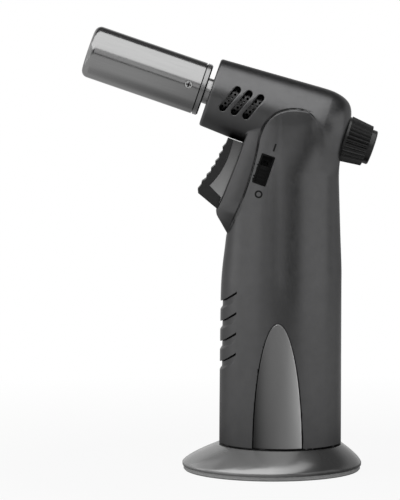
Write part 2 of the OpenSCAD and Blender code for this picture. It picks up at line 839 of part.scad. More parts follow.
module outlet_valve_stem() {
  color([0.85, 0.7, 0.35]) translate([valve_x, 0, 0])
    rod(valve_stem_r, valve_stem_low, lever_h - lever_low - push_gap);
}
module hose_core(r, overrun) {
  bend_x = hose_x - hose_bend_r;
  translate([0, 0, valve_port_h]) rotate([0, 90, 0]) rod(r, hose_start - overrun, bend_x);
  translate([bend_x, 0, valve_port_h + hose_bend_r]) rotate([90, 0, 0])
    rotate_extrude(angle = -90) translate([hose_bend_r, 0]) circle(r);
  translate([hose_x, 0, 0]) rod(r, valve_port_h + hose_bend_r, hose_top + overrun);
}
module gas_hose() {
  color([0.15, 0.15, 0.15]) difference() {
    hose_core(hose_r, 0);
    hose_core(hose_bore_r, cut);
  }
}

// Regulator and flame knob
module regulator_body() {
  color([0.8, 0.65, 0.3]) difference() {
    union() {
      burner_frame() rod(regulator_r, regulator_front_a, regulator_back_a);
      translate([hose_x, 0, 0]) rod(barb_r, hose_top - barb_grip, hose_axis_h);
    }
    burner_frame() {
      rod(spindle_r + run_gap, needle_seat_a, far);
      rod(gland_r + run_gap, gland_front_a, far);
      rod(jet_stub_r + run_gap, regulator_front_a - cut, jet_stub_end_a + 0.5);
      rod(regulator_port_r, 0, needle_seat_a + cut);
    }
    translate([hose_x, 0, 0]) rod(barb_bore_r, 0, hose_axis_h - regulator_r + spindle_r);
  }
}
module gas_jet() {
  color([0.82, 0.68, 0.32]) burner_frame() difference() {
    union() {
      rod(jet_r, jet_front_a, regulator_front_a - seat_gap);
      rod(jet_stub_r, jet_front_a + cut, jet_stub_end_a);
    }
    rod(jet_hole_r, jet_front_a - cut, jet_stub_end_a + cut);
  }
}
module gland_nut() {
  color([0.75, 0.6, 0.28]) burner_frame()
    pipe(gland_r, spindle_r + run_gap, gland_front_a + seal_t + seat_gap, regulator_back_a);
}
module spindle_seal() {
  seal_r = (gland_r - spindle_r - run_gap) / 2;
  color([0.1, 0.1, 0.1]) burner_frame() translate([0, 0, gland_front_a + (seal_t + seat_gap) / 2])
    rotate_extrude() translate([spindle_r + run_gap / 2 + seal_r, 0]) circle(seal_r - seal_gap);
}
module needle_spindle() {
  end_a = cap_peg_end_a - 0.5;
  color([0.7, 0.7, 0.72]) burner_frame() rotate_extrude() polygon([
    [0, needle_tip_a],
    [needle_tip_r, needle_tip_a],
    [spindle_r, needle_cone_a],
    [spindle_r, end_a],
    [0, end_a]
  ]);
}
// Ribbed section of the knob, each rib a raised cosine
module knob_section() {
  rib_h = 0.75;
  steps = 6;
  count = knob_ribs * steps;
  polygon([
    for (i = [0:count - 1])
    let (t = i * 360 / count, crest = pow((1 + cos(t * knob_ribs)) / 2, 2))
    (knob_d / 2 - rib_h * (1 - crest)) * [cos(t), sin(t)]
  ]);
}
module knob() {
  skirt = 0.9;
  skirt_inset = 0.4;
  color([0.06, 0.06, 0.06]) burner_frame() difference() {
    union() {
      translate([0, 0, knob_front_a + skirt])
        linear_extrude(knob_len - skirt, scale = 1 - 2 * knob_taper / knob_d) knob_section();
      rod(knob_d / 2 - skirt_inset, knob_front_a, knob_front_a + skirt + seat_gap);
    }
    rod(spindle_r + run_gap, 0, far);
    rod(cap_peg_r + seat_gap, cap_peg_end_a - 2 * seat_gap, far);
  }
}
module knob_cap() {
  dome = 0.5;
  r = knob_cap_d / 2;
  color([0.08, 0.08, 0.08]) burner_frame() {
    rotate_extrude() polygon(concat(
      [[0, knob_back_a + run_gap], [r, knob_back_a + run_gap]],
      arc(r - dome, knob_back_a + knob_cap_t - dome, dome, 0, 90, 6),
      [[0, knob_back_a + knob_cap_t]]
    ));
    rod(cap_peg_r, cap_peg_end_a, knob_back_a + knob_cap_t / 2);
  }
}

// Burner
module air_screen() {
  r = chamber_d / 2 - seat_gap;
  front = chamber_front_a + seat_gap;
  back = -7.2;
  margin = 1.2;
  punched = 0.36;
  row_pitch = screen_pitch * sin(60);
  rows = floor(chamber_d * punched / row_pitch);
  columns = floor((back - front - margin) / screen_pitch);
  color([0.72, 0.72, 0.73]) burner_frame() difference() {
    pipe(r, r - screen_t, front, back);
    for (i = [0:rows], k = [0:columns - 1])
    let (d = (i - rows / 2) * row_pitch, a = front + margin + (k + (i % 2) / 2) * screen_pitch)
      cross_rod(d, a, screen_hole_d / 2, -chamber_d, chamber_d);
  }
}
module burner_neck() {
  color([0.75, 0.75, 0.76]) burner_frame() difference() {
    union() {
      rod(neck_r, neck_front_a, neck_back_a);
      rod(neck_flange_r, chamber_front_a + seat_gap, chamber_front_a + seat_gap + neck_flange_t);
    }
    rod(neck_bore_r, neck_front_a - cut, neck_back_a + cut);
    translate(neck_notch) cube([neck_r, neck_notch_w, neck_back_a + cut - neck_notch[2]]);
  }
}
module burner_ring() {
  skirt_r = burner_r - burner_wall - run_gap;
  color([0.7, 0.7, 0.71]) burner_frame() difference() {
    union() {
      rotate_extrude() polygon([
        [0, tube_back_a + run_gap],
        [burner_r - ring_seam, tube_back_a + run_gap],
        [burner_r - ring_seam, tube_back_a + ring_seam],
        [burner_r, tube_back_a + ring_seam],
        [burner_r, ring_back_a - ring_edge],
        [burner_r - ring_edge, ring_back_a],
        [0, ring_back_a]
      ]);
      rod(skirt_r, tube_back_a - ring_skirt, ring_back_a - cut);
    }
    rod(skirt_r - ring_skirt_t, tube_back_a - ring_skirt - cut, tube_back_a);
    rod(neck_r + run_gap, -far, far);
    cross_rod(0, burner_screw_a, burner_screw_r + run_gap, -far / 2, far / 2);
  }
}
// Sheet-metal tube with its front rim rolled inwards
module burner_tube() {
  rim_z = tube_front_a + rim_r;
  rim_x = burner_r - rim_r;
  rim_in = rim_r - burner_wall;
  rim_turn = -125;
  color([0.78, 0.78, 0.79]) burner_frame() difference() {
    rotate_extrude() polygon(concat(
      [[burner_r - burner_wall, tube_back_a], [burner_r, tube_back_a]],
      arc(rim_x, rim_z, rim_r, 0, rim_turn, 12),
      reversed(arc(rim_x, rim_z, rim_in, 0, rim_turn, 12))
    ));
    cross_rod(0, burner_screw_a, burner_screw_head_r + seat_gap, -far / 2, far / 2);
  }
}
module burner_screws() {
  skirt_r = burner_r - burner_wall - run_gap;
  head_top = burner_r + 0.15;
  tip_show = 0.5;
  cross_len = 1.8;
  cross_w = 0.5;
  cross_depth = 0.55;
  color([0.7, 0.7, 0.72]) burner_frame() for (turn = [0, 180]) rotate(turn) difference() {
    union() {
      cross_rod(0, burner_screw_a, burner_screw_r, skirt_r - ring_skirt_t - tip_show, skirt_r + tip_show);
      cross_rod(0, burner_screw_a, burner_screw_head_r, skirt_r + seat_gap, head_top);
    }
    translate([0, head_top, burner_screw_a]) {
      cube([cross_len, 2 * cross_depth, cross_w], center = true);
      cube([cross_w, 2 * cross_depth, cross_len], center = true);
    }
  }
}
module flame_holder() {
  r = burner_r - burner_wall - seat_gap;
  jets = 8;
  jet_hole = 0.6;
  pilot_hole = 0.9;
  vents = 14;
  vent_hole = 0.8;
  vent_ring = neck_r + 2.6;
  color([0.72, 0.6, 0.3]) burner_frame() difference() {
    union() {
      rod(r, holder_front_a, holder_front_a + holder_t);
      rod(neck_r + 1, holder_front_a, holder_front_a + holder_t + holder_skirt);
    }
    rod(neck_r + run_gap, holder_front_a + holder_t, far);
    for (k = [1:jets - 1])
      rotate(360 * k / jets) translate([electrode_d, 0, 0]) rod(jet_hole, -far, 0);
    for (k = [0:vents - 1])
      rotate(360 * (k + 0.5) / vents) translate([vent_ring, 0, 0]) rod(vent_hole, -far, 0);
    translate([electrode_d, 0, 0]) rod(insulator_r + run_gap, -far, 0);
    rod(pilot_hole, -far, 0);
  }
}
module electrode_insulator() {
  color([0.93, 0.92, 0.88]) burner_frame() translate([electrode_d, 0, 0])
    pipe(insulator_r, electrode_r + run_gap, insulator_front_a, insulator_front_a + insulator_len);
}
module electrode() {
  wire_end_a = wire_route[len(wire_route) - 1][2];
  color([0.5, 0.5, 0.5]) burner_frame() translate([electrode_d, 0, 0])
    rod(electrode_r, insulator_front_a - electrode_show, wire_end_a - seat_gap);
}
// Tube along the route, each ring square to the way it points
module ignition_wire() {
  n = len(wire_route);
  color([0.65, 0.1, 0.08]) burner_frame() skin([
    for (i = [n - 1:-1:0])
    let (
      ahead = wire_route[min(i + 1, n - 1)] - wire_route[max(i - 1, 0)],
      along = ahead / norm(ahead),
      side_raw = cross(along, [0.3, 1, 0.2]),
      side = side_raw / norm(side_raw),
      up = cross(along, side)
    )
    [
      for (k = [0:wire_sides - 1]) let (t = 360 * k / wire_sides)
      wire_route[i] + wire_d / 2 * (cos(t) * side + sin(t) * up)
    ]
  ]);
}

// Igniter and trigger
module piezo_body() {
  color([0.85, 0.84, 0.8]) burner_frame() translate([piezo_axis_d, 0, 0]) difference() {
    rod(piezo_r, piezo_front_a, piezo_back_a);
    rod(plunger_r + run_gap, piezo_front_a - cut, plunger_bore_end_a);
  }
}
module piezo_plunger() {
  color([0.2, 0.2, 0.22]) burner_frame() translate([piezo_axis_d, 0, 0])
    rod(plunger_r, trigger_rear_a + push_gap, plunger_back_a);
}
module trigger() {
  half = trigger_w / 2;
  steps = 8;
  color([0.72, 0.73, 0.75]) burner_frame() difference() {
    union() {
      side_prism(concat(
        [[pad_top_d, pivot_a]],
        shifted(bezier(pad_back_curve, steps), [0, seat_gap]),
        [lever_heel, [lever_tail_d, lever_heel[1]]],
        [[lever_tail_d, trigger_rear_a], [pivot_d, trigger_rear_a]]
      ), -half, half);
      cross_rod(pivot_d, pivot_a, trigger_hub_r, -half, half);
    }
    cross_rod(pivot_d, pivot_a, trigger_pin_d / 2 + run_gap, -far, far);
  }
}
module trigger_pad() {
  half = pad_w / 2;
  steps = 8;
  step = (pad_rib_end - pad_rib_start) / pad_ribs;
  ribs = [
    for (k = [0:pad_ribs - 1])
    let (root = pad_rib_start + k * step, crest = root + pad_rib_crest * step)
    each [
      bezier_point(pad_curve, root),
      bezier_point(pad_curve, crest) + pad_rib_h * bezier_normal(pad_curve, crest)
    ]
  ];
  color([0.1, 0.1, 0.1]) burner_frame() side_prism(concat(
    [pad_curve[0]],
    ribs,
    [bezier_point(pad_curve, pad_rib_end), pad_curve[2], pad_heel, pad_tail],
    [
      [pad_tail[0], pad_tail_back_a],
      [lever_tail_d + seat_gap, pad_tail_back_a],
      [lever_tail_d + seat_gap, lever_heel[1] - seat_gap],
      lever_heel + [seat_gap, -seat_gap]
    ],
    reversed(bezier(pad_back_curve, steps))
  ), -half, half);
}
module trigger_pin() {
  color([0.7, 0.7, 0.72]) burner_frame()
    cross_rod(pivot_d, pivot_a, trigger_pin_d / 2, -trigger_pin_reach, trigger_pin_reach);
}

// Bell crank: an upright arm behind the trigger and a short arm over the valve's stem
module valve_lever() {
  arm_t = 2;
  root = 1.4;
  overlap = 1.2;
  foot_len = 4.6;
  foot_half_w = 2.2;
  foot_tip_h = 0.6;
  tip = head_point(lever_tail_d - overlap, trigger_rear_a + push_gap + seat_gap);
  color([0.7, 0.7, 0.72]) difference() {
    union() {
      cross_rod(lever_x, lever_h, lever_hub_r, -foot_half_w, lever_arm_out);
      side_prism([
        [lever_x - root, lever_h], [lever_x + root, lever_h], [tip[0] + arm_t, tip[1]], tip
      ], lever_arm_in, lever_arm_out);
      translate([lever_x, 0, lever_h]) side_prism([
        [0, -lever_low], [foot_len, -lever_low], [foot_len, foot_tip_h], [0, root]
      ], -foot_half_w, foot_half_w);
    }
    cross_rod(lever_x, lever_h, lever_pin_r + run_gap, -far, far);
  }
}
module lever_pin() {
  color([0.7, 0.7, 0.72]) cross_rod(lever_x, lever_h, lever_pin_r, -lever_pin_reach, lever_pin_reach);
}

// Lock
module lock_plate() {
  plate_len = lock_len - 2 * seat_gap;
  plate_w = lock_w - 2 * seat_gap;
  well_len = plate_len - 2 * lock_frame_t;
  well_w = plate_w - 2 * lock_frame_t;
  slit_len = lock_tongue_len + lock_travel + 4 * seat_gap;
  slit_w = lock_tongue_w + 4 * seat_gap;
  color([0.06, 0.06, 0.06]) burner_frame() difference() {
    lock_prism(lock_d, plate_len, plate_w, lock_face_y, -cavity_half_w);
    lock_prism(lock_d, well_len, well_w, lock_face_y - cut, lock_floor_y);
    lock_prism(lock_d, slit_len, slit_w, -far, 0);
  }
}
module lock_slider() {
  ridges = 4;
  ridge_pitch = 1.3;
  ridge_w = 0.5;
  ridge_h = 0.45;
  ridge_len = lock_slider_w - 1;
  color([0.09, 0.09, 0.09]) burner_frame() translate([lock_rest_d, 0, 0]) {
    lock_prism(0, lock_slider_len, lock_slider_w, lock_face_y + lock_recess, lock_floor_y - seat_gap);
    lock_prism(0, lock_tongue_len, lock_tongue_w, lock_floor_y - cut, lock_tongue_y);
    for (k = [0:ridges - 1])
      translate([(k - (ridges - 1) / 2) * ridge_pitch, lock_face_y + lock_recess, 0])
        cube([ridge_w, 2 * ridge_h, ridge_len], center = true);
  }
}

casing_left();
casing_right();
inlay_left();
inlay_right();
casing_screws();
base();
base_plate();
base_screws();
fuel_tank();
tank_cap();
tank_seal();
fill_valve_body();
fill_valve_stem();
outlet_valve_body();
outlet_valve_stem();
gas_hose();
regulator_body();
gas_jet();
gland_nut();
spindle_seal();
needle_spindle();
knob();
knob_cap();
air_screen();
burner_neck();
burner_ring();
burner_tube();
burner_screws();
flame_holder();
electrode();
electrode_insulator();
ignition_wire();
piezo_body();
piezo_plunger();
trigger();
trigger_pad();
trigger_pin();
valve_lever();
lever_pin();
lock_plate();
lock_slider();
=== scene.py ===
"""Looks of a hand-held butane torch, built round its packed construction.

Lengths are millimetres up to the moment a mesh is made, which is in metres. A moulded or pressed
piece is a solid given by a distance field, negative inside, and dual contouring draws its skin,
so flats, edges and blends come out of one formula. Places in the head are d, the distance below
the burner's axis, and a, the distance along it behind the point where it crosses the handle's axis.
"""

import json
import math
from functools import reduce

import bpy
import numpy as np
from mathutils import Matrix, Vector

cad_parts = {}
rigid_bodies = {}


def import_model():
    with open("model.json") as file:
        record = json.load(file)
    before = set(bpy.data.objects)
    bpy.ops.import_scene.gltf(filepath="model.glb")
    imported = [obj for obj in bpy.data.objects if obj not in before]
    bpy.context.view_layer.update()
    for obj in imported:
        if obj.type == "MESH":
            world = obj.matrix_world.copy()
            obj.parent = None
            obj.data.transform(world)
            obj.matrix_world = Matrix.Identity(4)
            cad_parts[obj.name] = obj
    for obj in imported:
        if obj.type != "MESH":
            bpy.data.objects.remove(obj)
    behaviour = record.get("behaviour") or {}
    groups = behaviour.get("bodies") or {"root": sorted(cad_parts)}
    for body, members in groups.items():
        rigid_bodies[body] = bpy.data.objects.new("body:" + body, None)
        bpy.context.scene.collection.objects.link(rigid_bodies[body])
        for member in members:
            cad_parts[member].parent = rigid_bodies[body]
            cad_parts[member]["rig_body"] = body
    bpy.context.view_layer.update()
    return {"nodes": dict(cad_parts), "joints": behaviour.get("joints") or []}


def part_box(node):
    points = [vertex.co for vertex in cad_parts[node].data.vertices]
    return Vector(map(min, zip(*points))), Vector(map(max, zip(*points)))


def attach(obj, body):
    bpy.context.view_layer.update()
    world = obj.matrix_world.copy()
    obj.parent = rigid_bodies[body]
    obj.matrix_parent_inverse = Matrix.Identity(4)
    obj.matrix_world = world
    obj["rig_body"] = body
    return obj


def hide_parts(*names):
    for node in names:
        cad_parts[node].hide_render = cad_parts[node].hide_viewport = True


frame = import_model()
MM = 0.001
FAR_OFF = 1e9
TINY = 1e-6

# The burner's axis, from the knob's joint
JOINTS = {joint["name"]: joint for joint in frame["joints"]}
KNOB_AXIS = JOINTS["flame_turn"]["axis"]
KNOB_POS = np.array(JOINTS["flame_turn"]["pos_m"]) / MM
COS = KNOB_AXIS[0]
SIN = -KNOB_AXIS[2]
TILT = math.asin(SIN)
AXIS_H = KNOB_POS[2] + KNOB_POS[0] * SIN / COS


def span(node):
    """Lowest and highest corner of a CAD node."""
    low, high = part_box(node)
    return np.array(low) / MM, np.array(high) / MM


# Fields


def head_frame(x, z):
    """d and a of points given by X and Z."""
    return -x * SIN - (z - AXIS_H) * COS, x * COS - (z - AXIS_H) * SIN


def head_point(d, a):
    """X and Z of a point given by d and a."""
    return a * COS - d * SIN, AXIS_H - a * SIN - d * COS


def between(value, low, high):
    """Distance outside an interval."""
    return np.maximum(low - value, value - high)


def smooth_min(a, b, k):
    """The lesser of two distances, rounded where they differ by less than k."""
    h = np.clip(0.5 + 0.5 * (b - a) / k, 0, 1)
    return b + (a - b) * h - k * h * (1 - h)


def smooth_max(a, b, k):
    """The greater of two distances, rounded like smooth_min."""
    return -smooth_min(-a, -b, k)


def soft_min(a, b, k):
    """Like smooth_min, with no step in the blend's curvature."""
    h = np.maximum(k - np.abs(a - b), 0) / k
    return np.minimum(a, b) - h**3 * k / 6


def ramp(value, low, high):
    """Smooth step from 0 at low to 1 at high."""
    t = np.clip((value - low) / (high - low), 0, 1)
    return t * t * (3 - 2 * t)


def oval(x, y, rx, ry, power):
    """Distance from an ellipse, drawn out towards its box by a power above 2, true near its edge."""
    u, v = np.abs(x / rx), np.abs(y / ry)
    n = np.maximum((u**power + v**power) ** (1 / power), TINY)
    steep = np.hypot((u / n) ** (power - 1) / rx, (v / n) ** (power - 1) / ry)
    return (n - 1) / np.maximum(steep, TINY)


def stadium(u, v, length, width):
    """Distance from a slot with round ends."""
    return np.hypot(np.maximum(np.abs(u) - (length - width) / 2, 0), v) - width / 2


def round_box(u, v, half_u, half_v, r):
    """Distance from a rectangle with rounded corners."""
    du = np.abs(u) - half_u + r
    dv = np.abs(v) - half_v + r
    return np.hypot(np.maximum(du, 0), np.maximum(dv, 0)) + np.minimum(np.maximum(du, dv), 0) - r


def bezier(p0, p1, p2, steps):
    """Points of a curve from p0 to p2 that sets out towards p1."""
    t = np.linspace(0, 1, steps)[:, None]
    return (1 - t) ** 2 * np.array(p0) + 2 * t * (1 - t) * np.array(p1) + t**2 * np.array(p2)


def spline(points, steps):
    """Smooth line through points by rising first column, the slope at each from its neighbours."""
    p = np.array(points, float)
    slope = np.empty_like(p)
    for i in range(len(p)):
        low, high = max(i - 1, 0), min(i + 1, len(p) - 1)
        slope[i] = (p[high] - p[low]) / (p[high, 0] - p[low, 0])
    out = []
    for i in range(len(p) - 1):
        reach = p[i + 1, 0] - p[i, 0]
        for t in np.arange(steps) / steps:
            h1 = 2 * t**3 - 3 * t**2 + 1
            h2 = (t**3 - 2 * t**2 + t) * reach
            h3 = 3 * t**2 - 2 * t**3
            h4 = (t**3 - t**2) * reach
            out.append(h1 * p[i] + h2 * slope[i] + h3 * p[i + 1] + h4 * slope[i + 1])
    out.append(p[-1])
    return np.array(out)


# Skin of a field by dual contouring

# Grid points along a block, blocks worked out at once, and how steep a field may be
BLOCK = 8
BATCH = 1000
SLACK = 1.35
# Steps towards a crossing, and the least share of the way that a step goes
BISECTIONS = 3
MARGIN = 0.02
# Half the length over which a field's slope is measured
PROBE = 0.004
# Share of a cell's main slope from which another slope makes an edge
SHARP = 0.08
# Turn of the normals over a face that counts as an edge, and how far from it they are taken instead
SMOOTH_COS = math.cos(math.radians(16))
BESIDE = 0.3
# Difference between a quad's diagonals that still counts as flat
FLAT_ERROR = 0.006
LEAST = 1e-9


def sample(field, low, step, blocks):
    """The field on a grid, worked out in full only in the blocks that its surface may cross."""
    centres = [low[i] + step * (BLOCK * np.arange(blocks[i]) + (BLOCK - 1) / 2) for i in range(3)]
    coarse = field(*np.meshgrid(*centres, indexing="ij", sparse=True))
    coarse = np.broadcast_to(coarse, blocks).astype(np.float32)
    values = np.ones((blocks[0], BLOCK, blocks[1], BLOCK, blocks[2], BLOCK), np.float32)
    values *= coarse[:, None, :, None, :, None]
    near = np.nonzero(np.abs(coarse) < SLACK * step * BLOCK * math.sqrt(3) / 2)
    inner = step * np.arange(BLOCK)
    for part in np.array_split(np.arange(len(near[0])), len(near[0]) // BATCH + 1):
        i, j, k = (index[part] for index in near)
        x = (low[0] + step * BLOCK * i)[:, None, None, None] + inner[None, :, None, None]
        y = (low[1] + step * BLOCK * j)[:, None, None, None] + inner[None, None, :, None]
        z = (low[2] + step * BLOCK * k)[:, None, None, None] + inner[None, None, None, :]
        values[i, :, j, :, k, :] = field(x, y, z)
    return values.reshape([BLOCK * n for n in blocks])


def gradient(field, points):
    """Unit normals of the field at points."""
    out = np.empty_like(points)
    for axis in range(3):
        shift = np.zeros(3)
        shift[axis] = PROBE
        out[:, axis] = field(*(points + shift).T) - field(*(points - shift).T)
    return out / np.maximum(np.linalg.norm(out, axis=1, keepdims=True), LEAST)


def crossings(field, values, low, step):
    """Points where the grid's edges cross the surface, the four cells round each, and their turn."""
    inside = values < 0
    points, cells, flips = [], [], []
    for axis in range(3):
        start = [slice(None)] * 3
        start[axis] = slice(None, -1)
        end = [slice(None)] * 3
        end[axis] = slice(1, None)
        index = np.argwhere(inside[tuple(start)] != inside[tuple(end)])
        other = index.copy()
        other[:, axis] += 1
        near, far = low + step * index, low + step * other
        v_near = values[tuple(index.T)].astype(float)
        v_far = values[tuple(other.T)].astype(float)
        flips.append(v_near > 0)
        for _ in range(BISECTIONS):
            t = np.clip(v_near / (v_near - v_far), MARGIN, 1 - MARGIN)[:, None]
            middle = near + t * (far - near)
            v = field(*middle.T)
            swap = (v < 0) == (v_near < 0)
            near = np.where(swap[:, None], middle, near)
            v_near = np.where(swap, v, v_near)
            far = np.where(swap[:, None], far, middle)
            v_far = np.where(swap, v_far, v)
        t = (v_near / (v_near - v_far))[:, None]
        points.append(near + t * (far - near))
        u, w = (axis + 1) % 3, (axis + 2) % 3
        corners = []
        for du, dw in ((-1, -1), (0, -1), (0, 0), (-1, 0)):
            cell = index.copy()
            cell[:, u] += du
            cell[:, w] += dw
            corners.append(np.ravel_multi_index(cell.T, values.shape))
        cells.append(np.stack(corners, 1))
    return np.concatenate(points), np.concatenate(cells), np.concatenate(flips)


def contour(field, low, high, step):
    """Vertices and quads of the field's zero surface in a box, with sharp edges kept."""
    low = np.array(low, float) - 2 * step
    blocks = [int(n) for n in np.ceil((np.array(high) + 2 * step - low) / (step * BLOCK))]
    values = sample(field, low, step, blocks)
    points, cells, flips = crossings(field, values, low, step)
    normals = gradient(field, points)
    used, quads = np.unique(cells, return_inverse=True)
    quads = quads.reshape(cells.shape)
    corner = low + step * np.stack(np.unravel_index(used, values.shape), 1)
    vertices = fit_vertices(points, normals, quads, corner, step)
    quads[flips] = quads[flips][:, ::-1]
    return vertices, quads


def fit_vertices(points, normals, quads, corner, step):
    """The vertex of each cell, where the planes through its crossings meet."""
    owner = quads.ravel()
    p, n = np.repeat(points, 4, axis=0), np.repeat(normals, 4, axis=0)
    total = len(corner)

    def summed(value):
        return np.bincount(owner, value, total)

    count = summed(np.ones(len(owner)))
    middle = np.stack([summed(p[:, i]) / count for i in range(3)], 1)
    ata = np.empty((total, 3, 3))
    for i in range(3):
        for j in range(3):
            ata[:, i, j] = summed(n[:, i] * n[:, j])
    reach = np.sum(n * (p - middle[owner]), 1)
    atb = np.stack([summed(n[:, i] * reach) for i in range(3)], 1)
    size, turn = np.linalg.eigh(ata)
    inverse = np.where(size > SHARP * size[:, 2:], 1 / np.maximum(size, LEAST), 0)
    local = np.einsum("nij,ni->nj", turn, atb) * inverse
    vertex = middle + np.einsum("nij,nj->ni", turn, local)
    return np.clip(vertex, corner, corner + step)


def split_quads(field, vertices, quads):
    """Quads that lie flat, and triangles for the rest, cut along the diagonal nearer the surface."""
    one = field(*((vertices[quads[:, 0]] + vertices[quads[:, 2]]) / 2).T)
    two = field(*((vertices[quads[:, 1]] + vertices[quads[:, 3]]) / 2).T)
    flat = np.abs(np.abs(one) - np.abs(two)) < FLAT_ERROR
    first = quads[~flat & (np.abs(one) <= np.abs(two))]
    second = quads[~flat & (np.abs(one) > np.abs(two))]
    triangles = np.concatenate(
        [first[:, [0, 1, 2]], first[:, [0, 2, 3]], second[:, [1, 2, 3]], second[:, [1, 3, 0]]]
    )
    return quads[flat], triangles


def corner_normals(field, vertices, own, faces):
    """Normals of the faces' corners: the field's own, split where a face meets a sharp edge."""
    normals = own[faces]
    mean = normals.mean(1, keepdims=True)
    mean /= np.maximum(np.linalg.norm(mean, axis=2, keepdims=True), LEAST)
    sharp = np.min(np.sum(normals * mean, 2), 1) < SMOOTH_COS
    corners = vertices[faces[sharp]]
    beside = corners * (1 - BESIDE) + corners.mean(1, keepdims=True) * BESIDE
    split = gradient(field, beside.reshape(-1, 3)).reshape(corners.shape)
    keep = np.sum(normals[sharp] * split, 2, keepdims=True) > SMOOTH_COS
    normals[sharp] = np.where(keep, normals[sharp], split)
    return normals


def mesh_object(name, vertices, groups, material, normals=None):
    """An object from arrays in millimetres, its faces in groups with the same number of corners."""
    mesh = bpy.data.meshes.new(name)
    mesh.vertices.add(len(vertices))
    mesh.vertices.foreach_set("co", (np.asarray(vertices) * MM).astype(np.float32).ravel())
    corners = np.concatenate([np.asarray(faces, np.int32).ravel() for faces in groups])
    sizes = np.concatenate([np.full(len(faces), np.shape(faces)[1], np.int32) for faces in groups])
    mesh.loops.add(len(corners))
    mesh.loops.foreach_set("vertex_index", corners)
    mesh.polygons.add(len(sizes))
    mesh.polygons.foreach_set("loop_start", np.concatenate([[0], np.cumsum(sizes)[:-1]]).astype(np.int32))
    mesh.update(calc_edges=True)
    mesh.polygons.foreach_set("use_smooth", np.ones(len(sizes), bool))
    if normals is not None:
        mesh.normals_split_custom_set(normals.astype(np.float32))
    mesh.materials.append(material)
    piece = bpy.data.objects.new(name, mesh)
    bpy.context.scene.collection.objects.link(piece)
    return piece


def solid(name, field, low, high, step, material):
    """An object with the skin of a field."""
    vertices, quads = contour(field, low, high, step)
    groups = split_quads(field, vertices, quads)
    own = gradient(field, vertices)
    normals = [corner_normals(field, vertices, own, faces).reshape(-1, 3) for faces in groups]
    return mesh_object(name, vertices, groups, material, np.concatenate(normals))


def stand_in(piece, node):
    """The piece stands for a node, and moves with its body."""
    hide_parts(node)
    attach(piece, frame["nodes"][node]["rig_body"])
    return piece


# Materials

# Range that noise mostly keeps to
NOISE_LOW = 0.3
NOISE_HIGH = 0.7
# How dark the darker patches of a plain colour are
PATCH_SHADE = 0.85


def new_material(name, colour, metallic, roughness, specular=0.5, edge=1):
    """A material with its shader set, for a function below to give it detail."""
    material = bpy.data.materials.new(name)
    material.use_nodes = True
    shader = material.node_tree.nodes["Principled BSDF"]
    shader.inputs["Base Color"].default_value = (*colour, 1)
    shader.inputs["Metallic"].default_value = metallic
    shader.inputs["Roughness"].default_value = roughness
    shader.inputs["Specular IOR Level"].default_value = specular
    shader.inputs["Specular Tint"].default_value = (edge, edge, edge, 1)
    return material, shader


def noise(material, scale, stretch=(1, 1, 1), turn=0, detail=3):
    """Noise on the object's own coordinates, scale in grains per metre, turned about Y."""
    nodes, links = material.node_tree.nodes, material.node_tree.links
    place = nodes.new("ShaderNodeTexCoord")
    mapping = nodes.new("ShaderNodeMapping")
    mapping.vector_type = "TEXTURE"
    mapping.inputs["Rotation"].default_value = (0, turn, 0)
    mapping.inputs["Scale"].default_value = stretch
    texture = nodes.new("ShaderNodeTexNoise")
    texture.inputs["Scale"].default_value = scale
    texture.inputs["Detail"].default_value = detail
    links.new(place.outputs["Object"], mapping.inputs["Vector"])
    links.new(mapping.outputs["Vector"], texture.inputs["Vector"])
    return texture.outputs["Fac"]


def spread(tree, value, start, end, low, high):
    """A value stretched from one range to another."""
    node = tree.nodes.new("ShaderNodeMapRange")
    for name, number in zip(("From Min", "From Max", "To Min", "To Max"), (start, end, low, high)):
        node.inputs[name].default_value = number
    tree.links.new(value, node.inputs["Value"])
    return node.outputs["Result"]


def tint(material, shader, value, one, two):
    """Base colour between two colours by a noise value."""
    node = material.node_tree.nodes.new("ShaderNodeValToRGB")
    node.color_ramp.elements[0].position = NOISE_LOW
    node.color_ramp.elements[1].position = NOISE_HIGH
    node.color_ramp.elements[0].color = (*one, 1)
    node.color_ramp.elements[1].color = (*two, 1)
    material.node_tree.links.new(value, node.inputs["Fac"])
    material.node_tree.links.new(node.outputs["Color"], shader.inputs["Base Color"])


def fade(material, shader, axis, start, end, one, two):
    """Base colour that goes from one colour to another along an axis, given in millimetres; here it paints
    light and shade.
    """
    tree = material.node_tree
    place = tree.nodes.new("ShaderNodeTexCoord")
    axes = tree.nodes.new("ShaderNodeSeparateXYZ")
    tree.links.new(place.outputs["Object"], axes.inputs["Vector"])
    share = spread(tree, axes.outputs[axis], start * MM, end * MM, NOISE_LOW, NOISE_HIGH)
    tint(material, shader, share, one, two)


def rough(material, shader, value, low, high):
    """Roughness over a range by a noise value."""
    share = spread(material.node_tree, value, NOISE_LOW, NOISE_HIGH, low, high)
    material.node_tree.links.new(share, shader.inputs["Roughness"])


def bump(material, shader, value, height_mm):
    """Relief by a noise value."""
    node = material.node_tree.nodes.new("ShaderNodeBump")
    node.inputs["Strength"].default_value = 1
    node.inputs["Distance"].default_value = height_mm * MM
    material.node_tree.links.new(value, node.inputs["Height"])
    material.node_tree.links.new(node.outputs["Normal"], shader.inputs["Normal"])


def grey(value):
    return (value, value, value)


def patchy(material, shader, scale, colour):
    """A plain colour with slightly darker patches."""
    tint(material, shader, noise(material, scale), tuple(PATCH_SHADE * c for c in colour), colour)


def lathe_lines(material):
    """Fine lines round the burner's axis."""
    return noise(material, 3000, (1, 40, 40), TILT)


def casing_paint():
    """Satin gunmetal paint with a fine grain."""
    material, shader = new_material("casing_paint", grey(0.08), metallic=1, roughness=0.32, edge=0.5)
    tint(material, shader, noise(material, 240), (0.077, 0.077, 0.078), (0.084, 0.084, 0.085))
    rough(material, shader, noise(material, 900), 0.3, 0.36)
    bump(material, shader, noise(material, 3600), 0.004)
    return material


# X where the inlay's painted reflection, dark at the front and light at the back, starts and ends
INLAY_PAINTED_SHADE_X = -9.5
INLAY_PAINTED_SHEEN_X = 7


